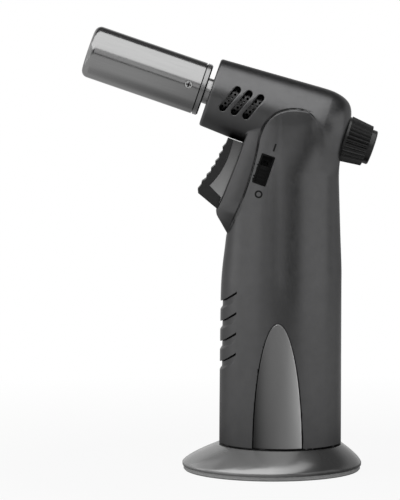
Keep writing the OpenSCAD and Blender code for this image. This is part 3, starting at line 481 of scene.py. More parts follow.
def inlay_metal():
    """Satin metal with an upright brushing, and a painted reflection that is dark at the front and light at
    the back.
    """
    material, shader = new_material("inlay_metal", grey(0.15), metallic=1, roughness=0.3, edge=0.5)
    brushing = noise(material, 5200, (1, 1, 50))
    fade(material, shader, "X", INLAY_PAINTED_SHADE_X, INLAY_PAINTED_SHEEN_X, grey(0.03), grey(0.44))
    rough(material, shader, brushing, 0.28, 0.33)
    bump(material, shader, brushing, 0.0006)
    return material


# X where the foot's painted reflection, light at the front and shaded at the back, starts and ends
FOOT_PAINTED_SHEEN_X = -4
FOOT_PAINTED_SHADE_X = 14


def foot_chrome():
    """Dark chrome with a painted reflection, light at the front and shaded towards the back, and faint
    smudges.
    """
    material, shader = new_material("foot_chrome", grey(0.15), metallic=0.6, roughness=0.2, edge=0.6)
    fade(material, shader, "X", FOOT_PAINTED_SHEEN_X, FOOT_PAINTED_SHADE_X, grey(0.21), grey(0.06))
    rough(material, shader, noise(material, 120, detail=5), 0.17, 0.24)
    bump(material, shader, noise(material, 350), 0.001)
    return material


def plate_finish():
    """Pale moulded plate with a fine grain."""
    material, shader = new_material("plate_finish", grey(0.26), metallic=0.3, roughness=0.45)
    tint(material, shader, noise(material, 400), grey(0.24), grey(0.28))
    rough(material, shader, noise(material, 900), 0.4, 0.52)
    bump(material, shader, noise(material, 2500), 0.008)
    return material


def burner_steel():
    """Steel sheet brushed along the burner."""
    material, shader = new_material("burner_steel", grey(0.205), metallic=1, roughness=0.16, edge=0.6)
    brushing = noise(material, 4800, (60, 1, 1), TILT)
    tint(material, shader, brushing, grey(0.195), grey(0.215))
    rough(material, shader, brushing, 0.14, 0.19)
    bump(material, shader, brushing, 0.0008)
    return material


def neck_steel():
    """Steel turned on a lathe about the burner's axis."""
    material, shader = new_material("neck_steel", grey(0.25), metallic=1, roughness=0.22)
    lines = lathe_lines(material)
    tint(material, shader, lines, grey(0.2), grey(0.28))
    rough(material, shader, lines, 0.16, 0.28)
    bump(material, shader, lines, 0.004)
    return material


BURNER_R = span("burner_tube")[1][1]
# Painted shade in seams and screw crosses: how far below the burner's surface it starts, how far it fades
# in, and its grey
RECESS_SHADE_DEPTH = 0.1
RECESS_SHADE_FADE = 0.15
RECESS_SHADE_GREY = 0.008


def from_axis(material):
    """Distance of a point from the burner's axis."""
    nodes, links = material.node_tree.nodes, material.node_tree.links
    value = nodes.new("ShaderNodeTexCoord").outputs["Object"]
    for operation, other in (("SUBTRACT", KNOB_POS * MM), ("CROSS_PRODUCT", KNOB_AXIS)):
        node = nodes.new("ShaderNodeVectorMath")
        node.operation = operation
        node.inputs[1].default_value = other
        links.new(value, node.inputs[0])
        value = node.outputs["Vector"]
    length = nodes.new("ShaderNodeVectorMath")
    length.operation = "LENGTH"
    links.new(value, length.inputs[0])
    return length.outputs["Value"]


def recess_shaded_steel(name, value):
    """Turned steel with painted shade below the burner's surface, in a seam or a screw's cross."""
    material, shader = new_material(name, grey(value), metallic=1, roughness=0.26)
    top = (BURNER_R - RECESS_SHADE_DEPTH) * MM
    low = top - RECESS_SHADE_FADE * MM
    share = spread(material.node_tree, from_axis(material), low, top, NOISE_LOW, NOISE_HIGH)
    tint(material, shader, share, grey(RECESS_SHADE_GREY), grey(value))
    lines = lathe_lines(material)
    rough(material, shader, lines, 0.2, 0.32)
    bump(material, shader, lines, 0.003)
    return material


def bright_metal(name, colour, low, high):
    """Plain worked metal with light scuffs."""
    material, shader = new_material(name, colour, metallic=1, roughness=(low + high) / 2)
    patchy(material, shader, 500, colour)
    rough(material, shader, noise(material, 1500), low, high)
    bump(material, shader, noise(material, 4000), 0.002)
    return material


# Z where the trigger's painted shade, dark at the top under the head and light lower down, ends and starts
TRIGGER_PAINTED_SHADE_Z = AXIS_H - 7
TRIGGER_PAINTED_SHEEN_Z = AXIS_H - 30


def trigger_metal():
    """Pressed metal brushed along the trigger, with painted shade towards its top and a painted highlight
    lower down.
    """
    material, shader = new_material("trigger_metal", grey(0.2), metallic=1, roughness=0.3, edge=0.6)
    brushing = noise(material, 5200, (1, 1, 40), -TILT)
    fade(material, shader, "Z", TRIGGER_PAINTED_SHEEN_Z, TRIGGER_PAINTED_SHADE_Z, grey(0.4), grey(0.1))
    rough(material, shader, brushing, 0.28, 0.34)
    bump(material, shader, brushing, 0.0008)
    return material


def moulding(name, colour, low, high, grain_mm, specular=0.5):
    """Moulded plastic or rubber with a grain."""
    material, shader = new_material(name, colour, metallic=0, roughness=(low + high) / 2, specular=specular)
    patchy(material, shader, 350, colour)
    rough(material, shader, noise(material, 1200), low, high)
    bump(material, shader, noise(material, 3200), grain_mm)
    return material


CASING = casing_paint()
INLAY = inlay_metal()
FOOT = foot_chrome()
PLATE = plate_finish()
BURNER = burner_steel()
# The ring and the screw heads take painted shade in their seam and cross
RING = recess_shaded_steel("ring_steel", 0.19)
SCREW_HEAD = recess_shaded_steel("screw_head_steel", 0.5)
NECK = neck_steel()
# The screen's steel is painted dark, as painted shade for its place deep inside the slots
SCREEN = bright_metal("screen_steel", grey(0.07), 0.25, 0.4)
SCREW = bright_metal("screw_steel", grey(0.35), 0.2, 0.34)
BRASS = bright_metal("brass", (0.6, 0.4, 0.15), 0.22, 0.36)
TRIGGER = trigger_metal()
BLACK = moulding("black_plastic", grey(0.005), 0.28, 0.36, 0.001, 0.45)
LOCK = moulding("lock_plastic", grey(0.003), 0.5, 0.6, 0.004, 0.12)
PAD = moulding("pad_rubber", grey(0.012), 0.42, 0.55, 0.008, 0.3)
RUBBER = moulding("rubber", grey(0.02), 0.5, 0.65, 0.01)
TANK = moulding("tank_plastic", (0.72, 0.72, 0.68), 0.3, 0.42, 0.006)
CERAMIC = moulding("ceramic", (0.82, 0.8, 0.74), 0.2, 0.35, 0.004)
WIRE = moulding("wire_cover", (0.42, 0.03, 0.025), 0.35, 0.5, 0.004)
IGNITER = moulding("igniter_plastic", (0.6, 0.58, 0.52), 0.35, 0.5, 0.006)
PRINT = moulding("print", grey(0.003), 0.5, 0.6, 0.001, 0.1)

FINISHES = {
    CASING: ["casing_left", "casing_right"],
    INLAY: ["inlay_left", "inlay_right"],
    FOOT: ["base"],
    PLATE: ["base_plate"],
    BURNER: ["burner_tube"],
    RING: ["burner_ring"],
    NECK: ["burner_neck"],
    SCREEN: ["air_screen"],
    SCREW: [
        "casing_screws", "base_screws", "trigger_pin", "lever_pin", "valve_lever", "needle_spindle",
        "electrode",
    ],
    SCREW_HEAD: ["burner_screws"],
    BRASS: [
        "fill_valve_body", "fill_valve_stem", "outlet_valve_body", "outlet_valve_stem",
        "regulator_body", "gas_jet", "gland_nut", "flame_holder",
    ],
    TRIGGER: ["trigger"],
    BLACK: ["knob", "knob_cap", "piezo_plunger"],
    LOCK: ["lock_plate", "lock_slider"],
    PAD: ["trigger_pad"],
    RUBBER: ["tank_seal", "spindle_seal", "gas_hose"],
    TANK: ["fuel_tank", "tank_cap"],
    CERAMIC: ["electrode_insulator"],
    WIRE: ["ignition_wire"],
    IGNITER: ["piezo_body"],
}


def finish_nodes():
    """Every CAD node takes its material."""
    for material, nodes in FINISHES.items():
        for node in nodes:
            for place in frame["nodes"][node].material_slots:
                place.material = material


finish_nodes()


# Casing

HANDLE_R = span("inlay_right")[1][1]
BASE_H = span("casing_left")[0][2]
INLAY_GAP = 0.45
INLAY_RISE = 0.6
INLAY_TOP = span("inlay_right")[1][2] + INLAY_GAP + INLAY_RISE
INLAY_HALF = 9
INLAY_SHIFT = 1.5
INLAY_T = 1.1
INLAY_EDGE = 0.12
INLAY_POWER = 1.9
INLAY_SEAT = 0.1
HEAD_FRONT = 26.8
HEAD_BACK = 24.6
HEAD_FRONT_R = 12.5
HEAD_BACK_R = 14.8
HEAD_ROUND = 9.5
HEAD_BLEND = 16
HEAD_EDGE = 1.0
HEAD_JOIN = 0.3
HEAD_TAPER_LEN = HEAD_FRONT + HEAD_BACK - HEAD_ROUND
HEAD_TAPER = (HEAD_BACK_R - HEAD_FRONT_R) / HEAD_TAPER_LEN
HEAD_MID_R = HEAD_FRONT_R + HEAD_TAPER * HEAD_FRONT
WAIST = AXIS_H - 43.3
SPLINE_STEPS = 12

# Height, front reach, back reach and half thickness of the handle
HANDLE = spline(
    [
        (BASE_H, HANDLE_R, HANDLE_R, HANDLE_R),
        (38, HANDLE_R - 0.2, HANDLE_R, HANDLE_R),
        (56, HANDLE_R - 0.4, HANDLE_R, HANDLE_R),
        (WAIST - 18, HANDLE_R - 0.6, HANDLE_R, HANDLE_R - 0.4),
        (WAIST - 11, HANDLE_R - 1.1, HANDLE_R, HANDLE_R - 1.1),
        (WAIST, HANDLE_R - 2.4, HANDLE_R - 0.4, HANDLE_R - 2.3),
        (AXIS_H - 30.3, HANDLE_R - 3.4, HANDLE_R - 0.8, HEAD_MID_R + 4.3),
        (AXIS_H - 19.3, HANDLE_R - 5, HANDLE_R - 1.1, HEAD_MID_R + 3),
        (AXIS_H - 10.3, HANDLE_R - 6.2, HANDLE_R - 1.3, HEAD_MID_R + 1.8),
        (AXIS_H - 3.3, HANDLE_R - 8.4, HANDLE_R - 0.4, HEAD_MID_R + 1.1),
        (AXIS_H + 2.7, HANDLE_R - 10.4, HANDLE_R, HEAD_MID_R + 0.8),
        (AXIS_H + 8.7, HANDLE_R - 12.4, HANDLE_R - 2, HEAD_MID_R - 0.5),
    ],
    SPLINE_STEPS,
)
# d, front along a and half thickness of the throat
THROAT = spline(
    [
        (8, -9.8, 13.2),
        (20, -9.8, 13.2),
        (33, -10.5, 12.8),
        (37.5, -10.8, 11.8),
        (40.2, -10.6, 9.8),
        (43, -7.7, 7.4),
        (45.8, -4.6, 4.4),
    ],
    SPLINE_STEPS,
)
THROAT_MID = 4
THROAT_REACH = 18
THROAT_POWER = 2.5
THROAT_EDGE = 0.8
# How far the handle's section fills out towards its box under the back of the head
SHOULDER = 2.0
SHOULDER_LOW = AXIS_H - 22
SHOULDER_HIGH = AXIS_H
SHOULDER_BACK = 8
# Edge of the cheek, where the handle's side ends on the throat and the head, as X and Z, with
# points well outside the handle at both ends
CHEEK_STEPS = 60
CHEEK_LINE = np.concatenate(
    [
        [(40, -40), (-45, -40), (-45, AXIS_H - 62)],
        bezier((-20.5, AXIS_H - 44.3), (-10, AXIS_H - 22.3), (-8.1, AXIS_H - 8.3), CHEEK_STEPS),
        bezier((-8.1, AXIS_H - 8.3), (-5.9, AXIS_H + 2.2), (4, AXIS_H + 2.7), CHEEK_STEPS)[1:],
        bezier((4, AXIS_H + 2.7), (12, AXIS_H + 2.7), (22, AXIS_H - 5.3), CHEEK_STEPS)[1:],
        [(40, AXIS_H - 17)],
    ]
)
CHEEK_MID = (8.0, AXIS_H - 32)


def cheek_polar(x, z):
    """Angle and distance from the cheek's middle in the side view."""
    u, v = x - CHEEK_MID[0], z - CHEEK_MID[1]
    return np.mod(np.arctan2(v, u) + math.pi / 2, 2 * math.pi), np.hypot(u, v)


def cheek_table():
    """Angle, distance and slope factor along the cheek's edge, in order of angle."""
    angle, r = cheek_polar(CHEEK_LINE[:, 0], CHEEK_LINE[:, 1])
    order = np.argsort(angle)
    angle, r = angle[order], r[order]
    return angle, r, 1 / np.hypot(1, np.gradient(r, angle) / r)


CHEEK_ANGLE, CHEEK_R, CHEEK_SLOPE = cheek_table()


def cheek_field(x, z):
    """Distance beyond the cheek's edge in the side view."""
    angle, r = cheek_polar(x, z)
    return (r - np.interp(angle, CHEEK_ANGLE, CHEEK_R)) * np.interp(angle, CHEEK_ANGLE, CHEEK_SLOPE)


def handle_field(x, y, z):
    """The handle, fuller at the back under the head."""
    front, back, half = (np.interp(z, HANDLE[:, 0], HANDLE[:, i]) for i in (1, 2, 3))
    power = 2 + SHOULDER * ramp(z, SHOULDER_LOW, SHOULDER_HIGH) * ramp(x, 0, SHOULDER_BACK)
    return np.maximum(oval(x, y, np.where(x < 0, front, back), half, power), BASE_H - z)


def throat_field(x, y, z):
    """The throat that holds the trigger."""
    d, a = head_frame(x, z)
    front, half = (np.interp(d, THROAT[:, 0], THROAT[:, i]) for i in (1, 2))
    side = oval(a - THROAT_MID, y, THROAT_REACH, half, THROAT_POWER)
    side = smooth_max(side, front - a, THROAT_EDGE)
    return np.maximum(side, between(d, 0, THROAT[-1, 0]))


def head_field(x, y, z):
    """The tapered head with its rounded back."""
    d, a = head_frame(x, z)
    r = HEAD_FRONT_R + HEAD_TAPER * np.clip(a + HEAD_FRONT, 0, HEAD_TAPER_LEN)
    radial = np.hypot(d, y)
    front = smooth_max(radial - r, -HEAD_FRONT - a, HEAD_EDGE)
    return np.maximum(front, -soft_min(r - radial, HEAD_BACK - a, HEAD_BLEND))


CHEEK_ROUND = 0.6
CHEEK_BLEND = 0.1
# The line along the cheek's edge, and where it runs out below and behind
LINE_W = 0.22
LINE_DEPTH = 0.35
LINE_LOW = AXIS_H - 41
LINE_LOW_FULL = AXIS_H - 36
LINE_BACK_FULL = 7
LINE_BACK = 12
# The soft hollow behind the cheek
REAR_START = 9
REAR_END = 17
REAR_BLEND = 5.0
REAR_SINK = 6.0
REAR_ROUND = 3.0
# The finger grooves
FINGER_COUNT = 4
FINGER_LOW = 37.6
FINGER_PITCH = 7.27
FINGER_H = 3.3
FINGER_DEPTH = 0.8
FINGER_START = 1
FINGER_REACH = 5.6
FINGER_WALL = 0.3
FINGER_SLOPE = 0.8
FINGER_SLIT_W = 0.95
FINGER_SLIT_DEPTH = 1.0
FINGER_RISE = math.tan(math.radians(38))


def finger_grooves(x, z):
    """Depth of the finger grooves: a slit under each upper edge, and a floor that runs out behind."""
    reach = x + np.interp(z, HANDLE[:, 0], HANDLE[:, 1])
    v = FINGER_LOW + FINGER_H / 2 + reach * FINGER_RISE - z
    v = v + FINGER_PITCH * (FINGER_COUNT - 1)
    k = np.clip(np.floor(v / FINGER_PITCH), 0, FINGER_COUNT - 1)
    v = v - k * FINGER_PITCH
    floor = FINGER_DEPTH * (1 - ramp(v, FINGER_H - FINGER_SLOPE, FINGER_H))
    floor = floor * (1 - ramp(reach, FINGER_START, FINGER_REACH))
    slit = FINGER_SLIT_DEPTH * (1 - ramp(v, FINGER_SLIT_W - FINGER_WALL, FINGER_SLIT_W))
    slit = slit * (1 - ramp(reach, FINGER_REACH - FINGER_WALL, FINGER_REACH))
    return ramp(v, 0, FINGER_WALL) * np.maximum(floor, slit)


def casing_form(x, y, z):
    """Outer form of the casing."""
    edge = cheek_field(x, z)
    rear = ramp(x, REAR_START, REAR_END)
    top = edge + REAR_SINK * rear
    cheek = smooth_max(handle_field(x, y, z), top, CHEEK_ROUND + REAR_ROUND * rear)
    body = smooth_min(head_field(x, y, z), throat_field(x, y, z), HEAD_JOIN)
    joined = soft_min(body, cheek, CHEEK_BLEND + REAR_BLEND * rear)
    depth = LINE_DEPTH * ramp(z, LINE_LOW, LINE_LOW_FULL) * (1 - ramp(x, LINE_BACK_FULL, LINE_BACK))
    line = depth * np.exp(-((edge / LINE_W) ** 2))
    return joined + line + finger_grooves(x, z)


# Rooms in the casing, each reaching a little into the next. Fronts and backs lie along a, or along X
# where the name says so, floors and roofs are heights, and the trigger's slot has its top and low in d
OVERLAP = 1
THROUGH = 5
TANK_GAP = 0.3
TANK_BORE_R = span("fuel_tank")[1][0] + TANK_GAP
TANK_TOP = span("fuel_tank")[1][2]
TANK_ROOF = TANK_TOP + 2
CAVITY_HALF_W = 9
CAVITY_FLOOR = TANK_TOP + 1
CAVITY_FRONT_X = -16.5
CAVITY_BACK_X = 12.5
CAVITY_TOP_D = 9.5
CAVITY_FRONT = -6
REAR_ROOM_FRONT_X = 11.5
REAR_ROOM_BACK_X = 18
REAR_ROOM_HALF_W = 6
REAR_ROOM_ROOF = AXIS_H - 19.5
REAR_ROOM_SLOPE = 0.58
NECK_HOLE_R = 4.8
VALVE_SEAT_R = 6.1
VALVE_SEAT_BACK = 17.1
SPINDLE_HOLE_R = 2.3
SPINDLE_HOLE_FRONT = 16
PIEZO_D = 32
PIEZO_SEAT_R = 4.9
PIEZO_FRONT = 0.6
PIEZO_BACK = 20
CHAMBER_R = 9.6
CHAMBER_FRONT = -24.8
CHAMBER_BACK = -3
SLOT_LEN = 10.6
SLOT_W = 2.4
SLOT_PITCH = 4.35
SLOT_PLACE = -15
SLOT_LEAN = math.radians(21)
SLOT_EDGE = 0.35
SLOT_INNER_Y = 4
KNOB_SEAT = HEAD_BACK - 1.2
KNOB_SEAT_R = 8.7
TRIGGER_SLOT_TOP = 13.2
TRIGGER_SLOT_LOW = 39.3
TRIGGER_SLOT_FRONT = -30
TRIGGER_SLOT_BACK = 0
TRIGGER_SLOT_HALF = 6.7
LOCK_D = 19.8
LOCK_LEN = 11
LOCK_W = 5
LOCK_CORNER = 0.4
LOCK_FLOOR_Y = -8


def hollow_field(x, y, z):
    """What the casing holds."""
    d, a = head_frame(x, z)
    radial = np.hypot(d, y)
    bore = np.maximum(np.hypot(x, y) - TANK_BORE_R, z - TANK_ROOF)
    room = np.maximum(between(x, CAVITY_FRONT_X, CAVITY_BACK_X), CAVITY_FLOOR - z)
    room = np.maximum(np.maximum(room, CAVITY_TOP_D - d), CAVITY_FRONT - a)
    room = np.maximum(room, np.abs(y) - CAVITY_HALF_W)
    roof = REAR_ROOM_ROOF + REAR_ROOM_SLOPE * (REAR_ROOM_BACK_X - x)
    rear = np.maximum(between(x, REAR_ROOM_FRONT_X, REAR_ROOM_BACK_X), between(z, CAVITY_FLOOR, roof))
    rear = np.maximum(rear, np.abs(y) - REAR_ROOM_HALF_W)
    chamber = np.maximum(radial - CHAMBER_R, between(a, CHAMBER_FRONT, CHAMBER_BACK))
    neck = np.maximum(radial - NECK_HOLE_R, between(a, -HEAD_FRONT - THROUGH, CHAMBER_FRONT + OVERLAP))
    valve = np.maximum(radial - VALVE_SEAT_R, between(a, CHAMBER_BACK - OVERLAP, VALVE_SEAT_BACK))
    spindle = np.maximum(radial - SPINDLE_HOLE_R, between(a, SPINDLE_HOLE_FRONT, HEAD_BACK + THROUGH))
    knob = np.maximum(radial - KNOB_SEAT_R, KNOB_SEAT - a)
    trigger = between(d, TRIGGER_SLOT_TOP, TRIGGER_SLOT_LOW)
    trigger = np.maximum(trigger, between(a, TRIGGER_SLOT_FRONT, TRIGGER_SLOT_BACK))
    trigger = np.maximum(trigger, np.abs(y) - TRIGGER_SLOT_HALF)
    piezo = np.maximum(np.hypot(d - PIEZO_D, y) - PIEZO_SEAT_R, between(a, PIEZO_FRONT, PIEZO_BACK))
    rooms = [bore, room, rear, chamber, neck, valve, spindle, knob, trigger, piezo]
    return reduce(np.minimum, rooms)


def air_slots_field(x, y, z):
    """The three leaning slots in each side of the head."""
    d, a = head_frame(x, z)
    slots = FAR_OFF
    for k in (-1, 0, 1):
        u, v = d, a - SLOT_PLACE - k * SLOT_PITCH
        u, v = (
            u * math.cos(SLOT_LEAN) - v * math.sin(SLOT_LEAN),
            u * math.sin(SLOT_LEAN) + v * math.cos(SLOT_LEAN),
        )
        slots = np.minimum(slots, stadium(u, v, SLOT_LEN, SLOT_W))
    return np.maximum(slots, SLOT_INNER_Y - np.abs(y))


# Screws that join the casing
SCREW_R = 1.1
SCREW_HEAD_H = 1.6
SCREW_EDGE = 0.3
SCREW_TIP = span("casing_screws")[0][1]
SCREW_GAP = 0.2
CROSS_LEN = 2.8
CROSS_W = 0.6
CROSS_DEPTH = 0.7
BOSS_SEAT_Y = 9.8
BOSS_SCREW_HEAD_R = 2.3
HEAD_SEAT_Y = 5.2
HEAD_SCREW_HEAD_R = 1.9
# X, Z, the seat's Y and the head's radius of each
SCREWS = [
    (-13.5, TANK_TOP + 8.3, BOSS_SEAT_Y, BOSS_SCREW_HEAD_R),
    (7.5, TANK_TOP + 12, BOSS_SEAT_Y, BOSS_SCREW_HEAD_R),
    (*head_point(-10.6, 9), HEAD_SEAT_Y, HEAD_SCREW_HEAD_R),
]


def screw_field(x, y, z):
    """Round-headed screws with a cross."""
    form = FAR_OFF
    for place_x, place_z, seat, head_r in SCREWS:
        u, v = np.abs(x - place_x), np.abs(z - place_z)
        radial = np.hypot(u, v)
        top = seat + SCREW_HEAD_H
        shank = np.maximum(radial - SCREW_R, between(y, SCREW_TIP, seat))
        head = smooth_max(radial - head_r, between(y, seat, top), SCREW_EDGE)
        cross = np.maximum(np.maximum(u, v) - CROSS_LEN / 2, np.minimum(u, v) - CROSS_W / 2)
        cross = np.maximum(cross, top - CROSS_DEPTH - y)
        form = np.minimum(form, np.maximum(np.minimum(head, shank), -cross))
    return form


def screw_seat_field(x, y, z):
    """Holes for the screws, counterbored from the right."""
    form = FAR_OFF
    for place_x, place_z, seat, head_r in SCREWS:
        radial = np.hypot(x - place_x, z - place_z) - SCREW_GAP
        bore = np.maximum(radial - SCREW_R, SCREW_TIP - SCREW_GAP - y)
        form = np.minimum(form, np.minimum(bore, np.maximum(radial - head_r, seat - y)))
    return form


def arch_field(x, z, gap):
    """Side view of an inlay, narrowed by a gap."""
    half = INLAY_HALF - gap
    rise = INLAY_TOP - BASE_H - gap
    v = np.maximum(z - BASE_H, 0) / rise
    u = (x + INLAY_SHIFT) / half
    k0 = np.sqrt(u**2 + v**INLAY_POWER)
    slope_v = INLAY_POWER / 2 * np.maximum(v, 1e-4) ** (INLAY_POWER - 1) / rise
    return k0 * (k0 - 1) / np.maximum(np.hypot(u / half, slope_v), TINY)


def casing_field(x, y, z, side):
    """One half of the casing, side being -1 on the left."""
    form = casing_form(x, y, z)
    form = np.maximum(form, -hollow_field(x, y, z))
    form = np.maximum(form, -screw_seat_field(x, y, z))
    form = smooth_max(form, -air_slots_field(x, y, z), SLOT_EDGE)
    recess = np.maximum(arch_field(x, z, 0), HANDLE_R - INLAY_T - INLAY_SEAT - np.hypot(x, y))
    form = np.maximum(form, -recess)
    if side < 0:
        d, a = head_frame(x, z)
        lock = round_box(d - LOCK_D, a, LOCK_LEN / 2, LOCK_W / 2, LOCK_CORNER)
        form = np.maximum(form, -np.maximum(lock, y - LOCK_FLOOR_Y))
    return np.maximum(form, -side * y)


def inlay_field(x, y, z, side):
    """The arched inlay of one side."""
    shell = between(np.hypot(x, y), HANDLE_R - INLAY_T, HANDLE_R)
    arch = np.maximum(arch_field(x, z, INLAY_GAP), BASE_H + INLAY_GAP - z)
    return np.maximum(smooth_max(shell, arch, INLAY_EDGE), -side * y)


# Grid steps
CASING_STEP = 0.35
INLAY_STEP = 0.3
FOOT_STEP = 0.4
SCREW_STEP = 0.2


def build_side(side, casing, inlay):
    """One half of the casing, and the inlay on it."""
    low, high = span(casing)
    piece = solid(
        casing + "_skin", lambda x, y, z: casing_field(x, y, z, side), low, high, CASING_STEP, CASING
    )
    stand_in(piece, casing)
    low, high = span(inlay)
    high[2] += INLAY_RISE
    piece = solid(inlay + "_skin", lambda x, y, z: inlay_field(x, y, z, side), low, high, INLAY_STEP, INLAY)
    stand_in(piece, inlay)


def build_screws():
    """The screws that join the casing."""
    low, high = span("casing_screws")
    piece = solid("casing_screws_skin", screw_field, low, high, SCREW_STEP, SCREW)
    stand_in(piece, "casing_screws")


build_side(-1, "casing_left", "inlay_left")
build_side(1, "casing_right", "inlay_right")
build_screws()


# Foot

FOOT_LOW, FOOT_HIGH = span("base")
FOOT_INSET = 0.06
FOOT_R = FOOT_HIGH[1] - FOOT_INSET
FOOT_SHIFT = -(FOOT_LOW[0] + FOOT_HIGH[0]) / 2
PLATE_T = FOOT_LOW[2]
FOOT_WALL = 6
FOOT_TOP_T = 4
FOOT_HUB_R = 9.5
FOOT_BORE_R = 4.7
FOOT_RIM = 1.0
FOOT_LOW_EDGE = 0.5
FOOT_TOP_EDGE = 0.05
FOOT_SEAM = 0.3
SPIGOT_GAP = 0.1
FLARE_POWER = 1.35


def foot_field(x, y, z):
    """A trumpet flare with a spigot for the casing, hollow from below."""
    rise = BASE_H - PLATE_T - FOOT_RIM
    v = np.clip((z - PLATE_T - FOOT_RIM) / rise, 0, 1)
    r = FOOT_R + (HANDLE_R - FOOT_R) * v**FLARE_POWER
    slope = FLARE_POWER * v ** (FLARE_POWER - 1) * (FOOT_R - HANDLE_R) / rise
    flare = (np.hypot(x + FOOT_SHIFT * (1 - v**FLARE_POWER), y) - r) / np.hypot(1, slope)
    flare = smooth_max(flare, PLATE_T - z, FOOT_LOW_EDGE)
    flare = smooth_max(flare, z - BASE_H + FOOT_SEAM, FOOT_TOP_EDGE)
    radial = np.hypot(x, y)
    spigot = np.maximum(radial - TANK_BORE_R + SPIGOT_GAP, between(z, BASE_H - OVERLAP, FOOT_HIGH[2]))
    hollow = np.maximum(np.hypot(x + FOOT_SHIFT, y) - FOOT_R + FOOT_WALL, z - BASE_H + FOOT_TOP_T)
    hollow = np.maximum(hollow, FOOT_HUB_R - radial)
    form = np.maximum(np.minimum(flare, spigot), -hollow)
    return np.maximum(form, FOOT_BORE_R - radial)


def build_foot():
    """The flared foot."""
    piece = solid("base_skin", foot_field, FOOT_LOW, FOOT_HIGH, FOOT_STEP, FOOT)
    stand_in(piece, "base")


build_foot()


# Switch marks: a bar and a ring, printed beside the lock

MARK_H = 2.8
MARK_STROKE = 0.6
MARK_PROUD = 0.03
MARK_SUNK = 0.25
MARK_A = 1.1
MARK_GAP = 3.2
# Where the casing's side is looked for, and in how many halvings
SEARCH_MARGIN = 1.0
SEARCH_INNER_Y = -6.0
SEARCH_STEPS = 30


def side_surface(x, z):
    """Y of the casing's left side."""
    outer = np.full(np.shape(x), -HANDLE_R - SEARCH_MARGIN)
    inner = np.full(np.shape(x), SEARCH_INNER_Y)
    for _ in range(SEARCH_STEPS):
        middle = (outer + inner) / 2
        out = casing_form(x, middle, z) > 0
        outer, inner = np.where(out, middle, outer), np.where(out, inner, middle)
    return outer


def mark(name, outline, faces):
    """A thin print on the casing's left side, its outline given as d and a."""
    x, z = head_point(outline[:, 0], outline[:, 1])
    y = side_surface(x, z)
    top = np.stack([x, y - MARK_PROUD, z], 1)
    low = np.stack([x, y + MARK_SUNK, z], 1)
    count = len(x)
    edges = [(i, j) for face in faces for i, j in zip(face, np.roll(face, -1))]
    rim = [(j, i, i + count, j + count) for i, j in edges if (j, i) not in edges]
    quads = np.concatenate([faces, np.array(faces)[:, ::-1] + count, np.array(rim)])
    piece = mesh_object(name, np.concatenate([top, low]), [quads], PRINT)
    piece.data.polygons.foreach_set("use_smooth", np.zeros(len(quads), bool))
    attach(piece, frame["nodes"]["casing_left"]["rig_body"])


def bar_mark(d):
    """A bar along the lock."""
    steps = 6
    outline, faces = [], []
    for i in range(steps + 1):
        for side in (-1, 1):
            outline.append((d + MARK_H * (i / steps - 0.5), MARK_A + side * MARK_STROKE / 2))
        if i:
            k = 2 * i
            faces.append((k - 2, k - 1, k + 1, k))
    mark("mark_bar", np.array(outline), faces)


def ring_mark(d):
    """A ring."""
    steps = 40
    outline, faces = [], []
    for i in range(steps):
        t = 2 * math.pi * i / steps
        for r in (MARK_H / 2 - MARK_STROKE, MARK_H / 2):
            outline.append((d + r * math.cos(t), MARK_A + r * math.sin(t)))
        k, n = 2 * i, 2 * ((i + 1) % steps)
        faces.append((k, k + 1, n + 1, n))
    mark("mark_ring", np.array(outline), faces)


bar_mark(LOCK_D - LOCK_LEN / 2 - MARK_GAP)
ring_mark(LOCK_D + LOCK_LEN / 2 + MARK_GAP)


# Stage

# The photograph: millimetres to a pixel, its height, its middle and the pixel where the origin lies
PHOTO_SCALE = 0.36
PHOTO_H = 500
PHOTO_MIDDLE = (200, 250)
PHOTO_ORIGIN = (280.4, 470)
VIEW_X = (PHOTO_MIDDLE[0] - PHOTO_ORIGIN[0]) * PHOTO_SCALE
VIEW_Z = (PHOTO_ORIGIN[1] - PHOTO_MIDDLE[1]) * PHOTO_SCALE
CAMERA_DISTANCE = 950
CAMERA_H = 142
SENSOR = 24


def add_camera():
    """A camera with the photograph's view."""
    data = bpy.data.cameras.new("camera")
    camera = bpy.data.objects.new("camera", data)
    bpy.context.scene.collection.objects.link(camera)
    place = Vector((VIEW_X, -CAMERA_DISTANCE, CAMERA_H)) * MM
    target = Vector((VIEW_X, 0, VIEW_Z)) * MM
    camera.location = place
    camera.rotation_euler = (target - place).to_track_quat("-Z", "Y").to_euler()
    data.sensor_fit = "VERTICAL"
    data.sensor_height = SENSOR
    data.lens = SENSOR * (target - place).length / (PHOTO_H * PHOTO_SCALE * MM)
    bpy.context.scene.camera = camera


def add_softbox(name, place, target, size, radiance):
    """A rectangular lamp that shines with a radiance, white being 1."""
    data = bpy.data.lights.new(name, "AREA")
    data.shape = "RECTANGLE"
    data.size, data.size_y = size
    data.energy = radiance * math.pi * size[0] * size[1]
    lamp = bpy.data.objects.new(name, data)
    lamp.location = place
    lamp.rotation_euler = (Vector(target) - Vector(place)).to_track_quat("-Z", "Y").to_euler()
    bpy.context.scene.collection.objects.link(lamp)


def math_node(tree, operation, one, two):
    """Two numbers or sockets joined by an operation."""
    node = tree.nodes.new("ShaderNodeMath")
    node.operation = operation
    for place, value in zip(node.inputs, (one, two)):
        if isinstance(value, bpy.types.NodeSocket):
            tree.links.new(value, place)
        else:
            place.default_value = value
    return node.outputs[0]


def seen(tree, mirrored):
    """1 for rays from the camera or through glass, and a share for those that metal sends on."""
    path = tree.nodes.new("ShaderNodeLightPath")
    direct = math_node(tree, "MAXIMUM", path.outputs["Is Camera Ray"], path.outputs["Is Transmission Ray"])
    glossy = math_node(tree, "MULTIPLY", path.outputs["Is Glossy Ray"], mirrored)
    return math_node(tree, "MAXIMUM", direct, glossy)


# Strength of the room, and where the backdrop fades upwards and to the sides
ROOM = 0.16
BACKDROP_TOP = 0.42
BACKDROP_FADE = 0.6
BACKDROP_SIDE = 0.1
BACKDROP_BACK = 0.4


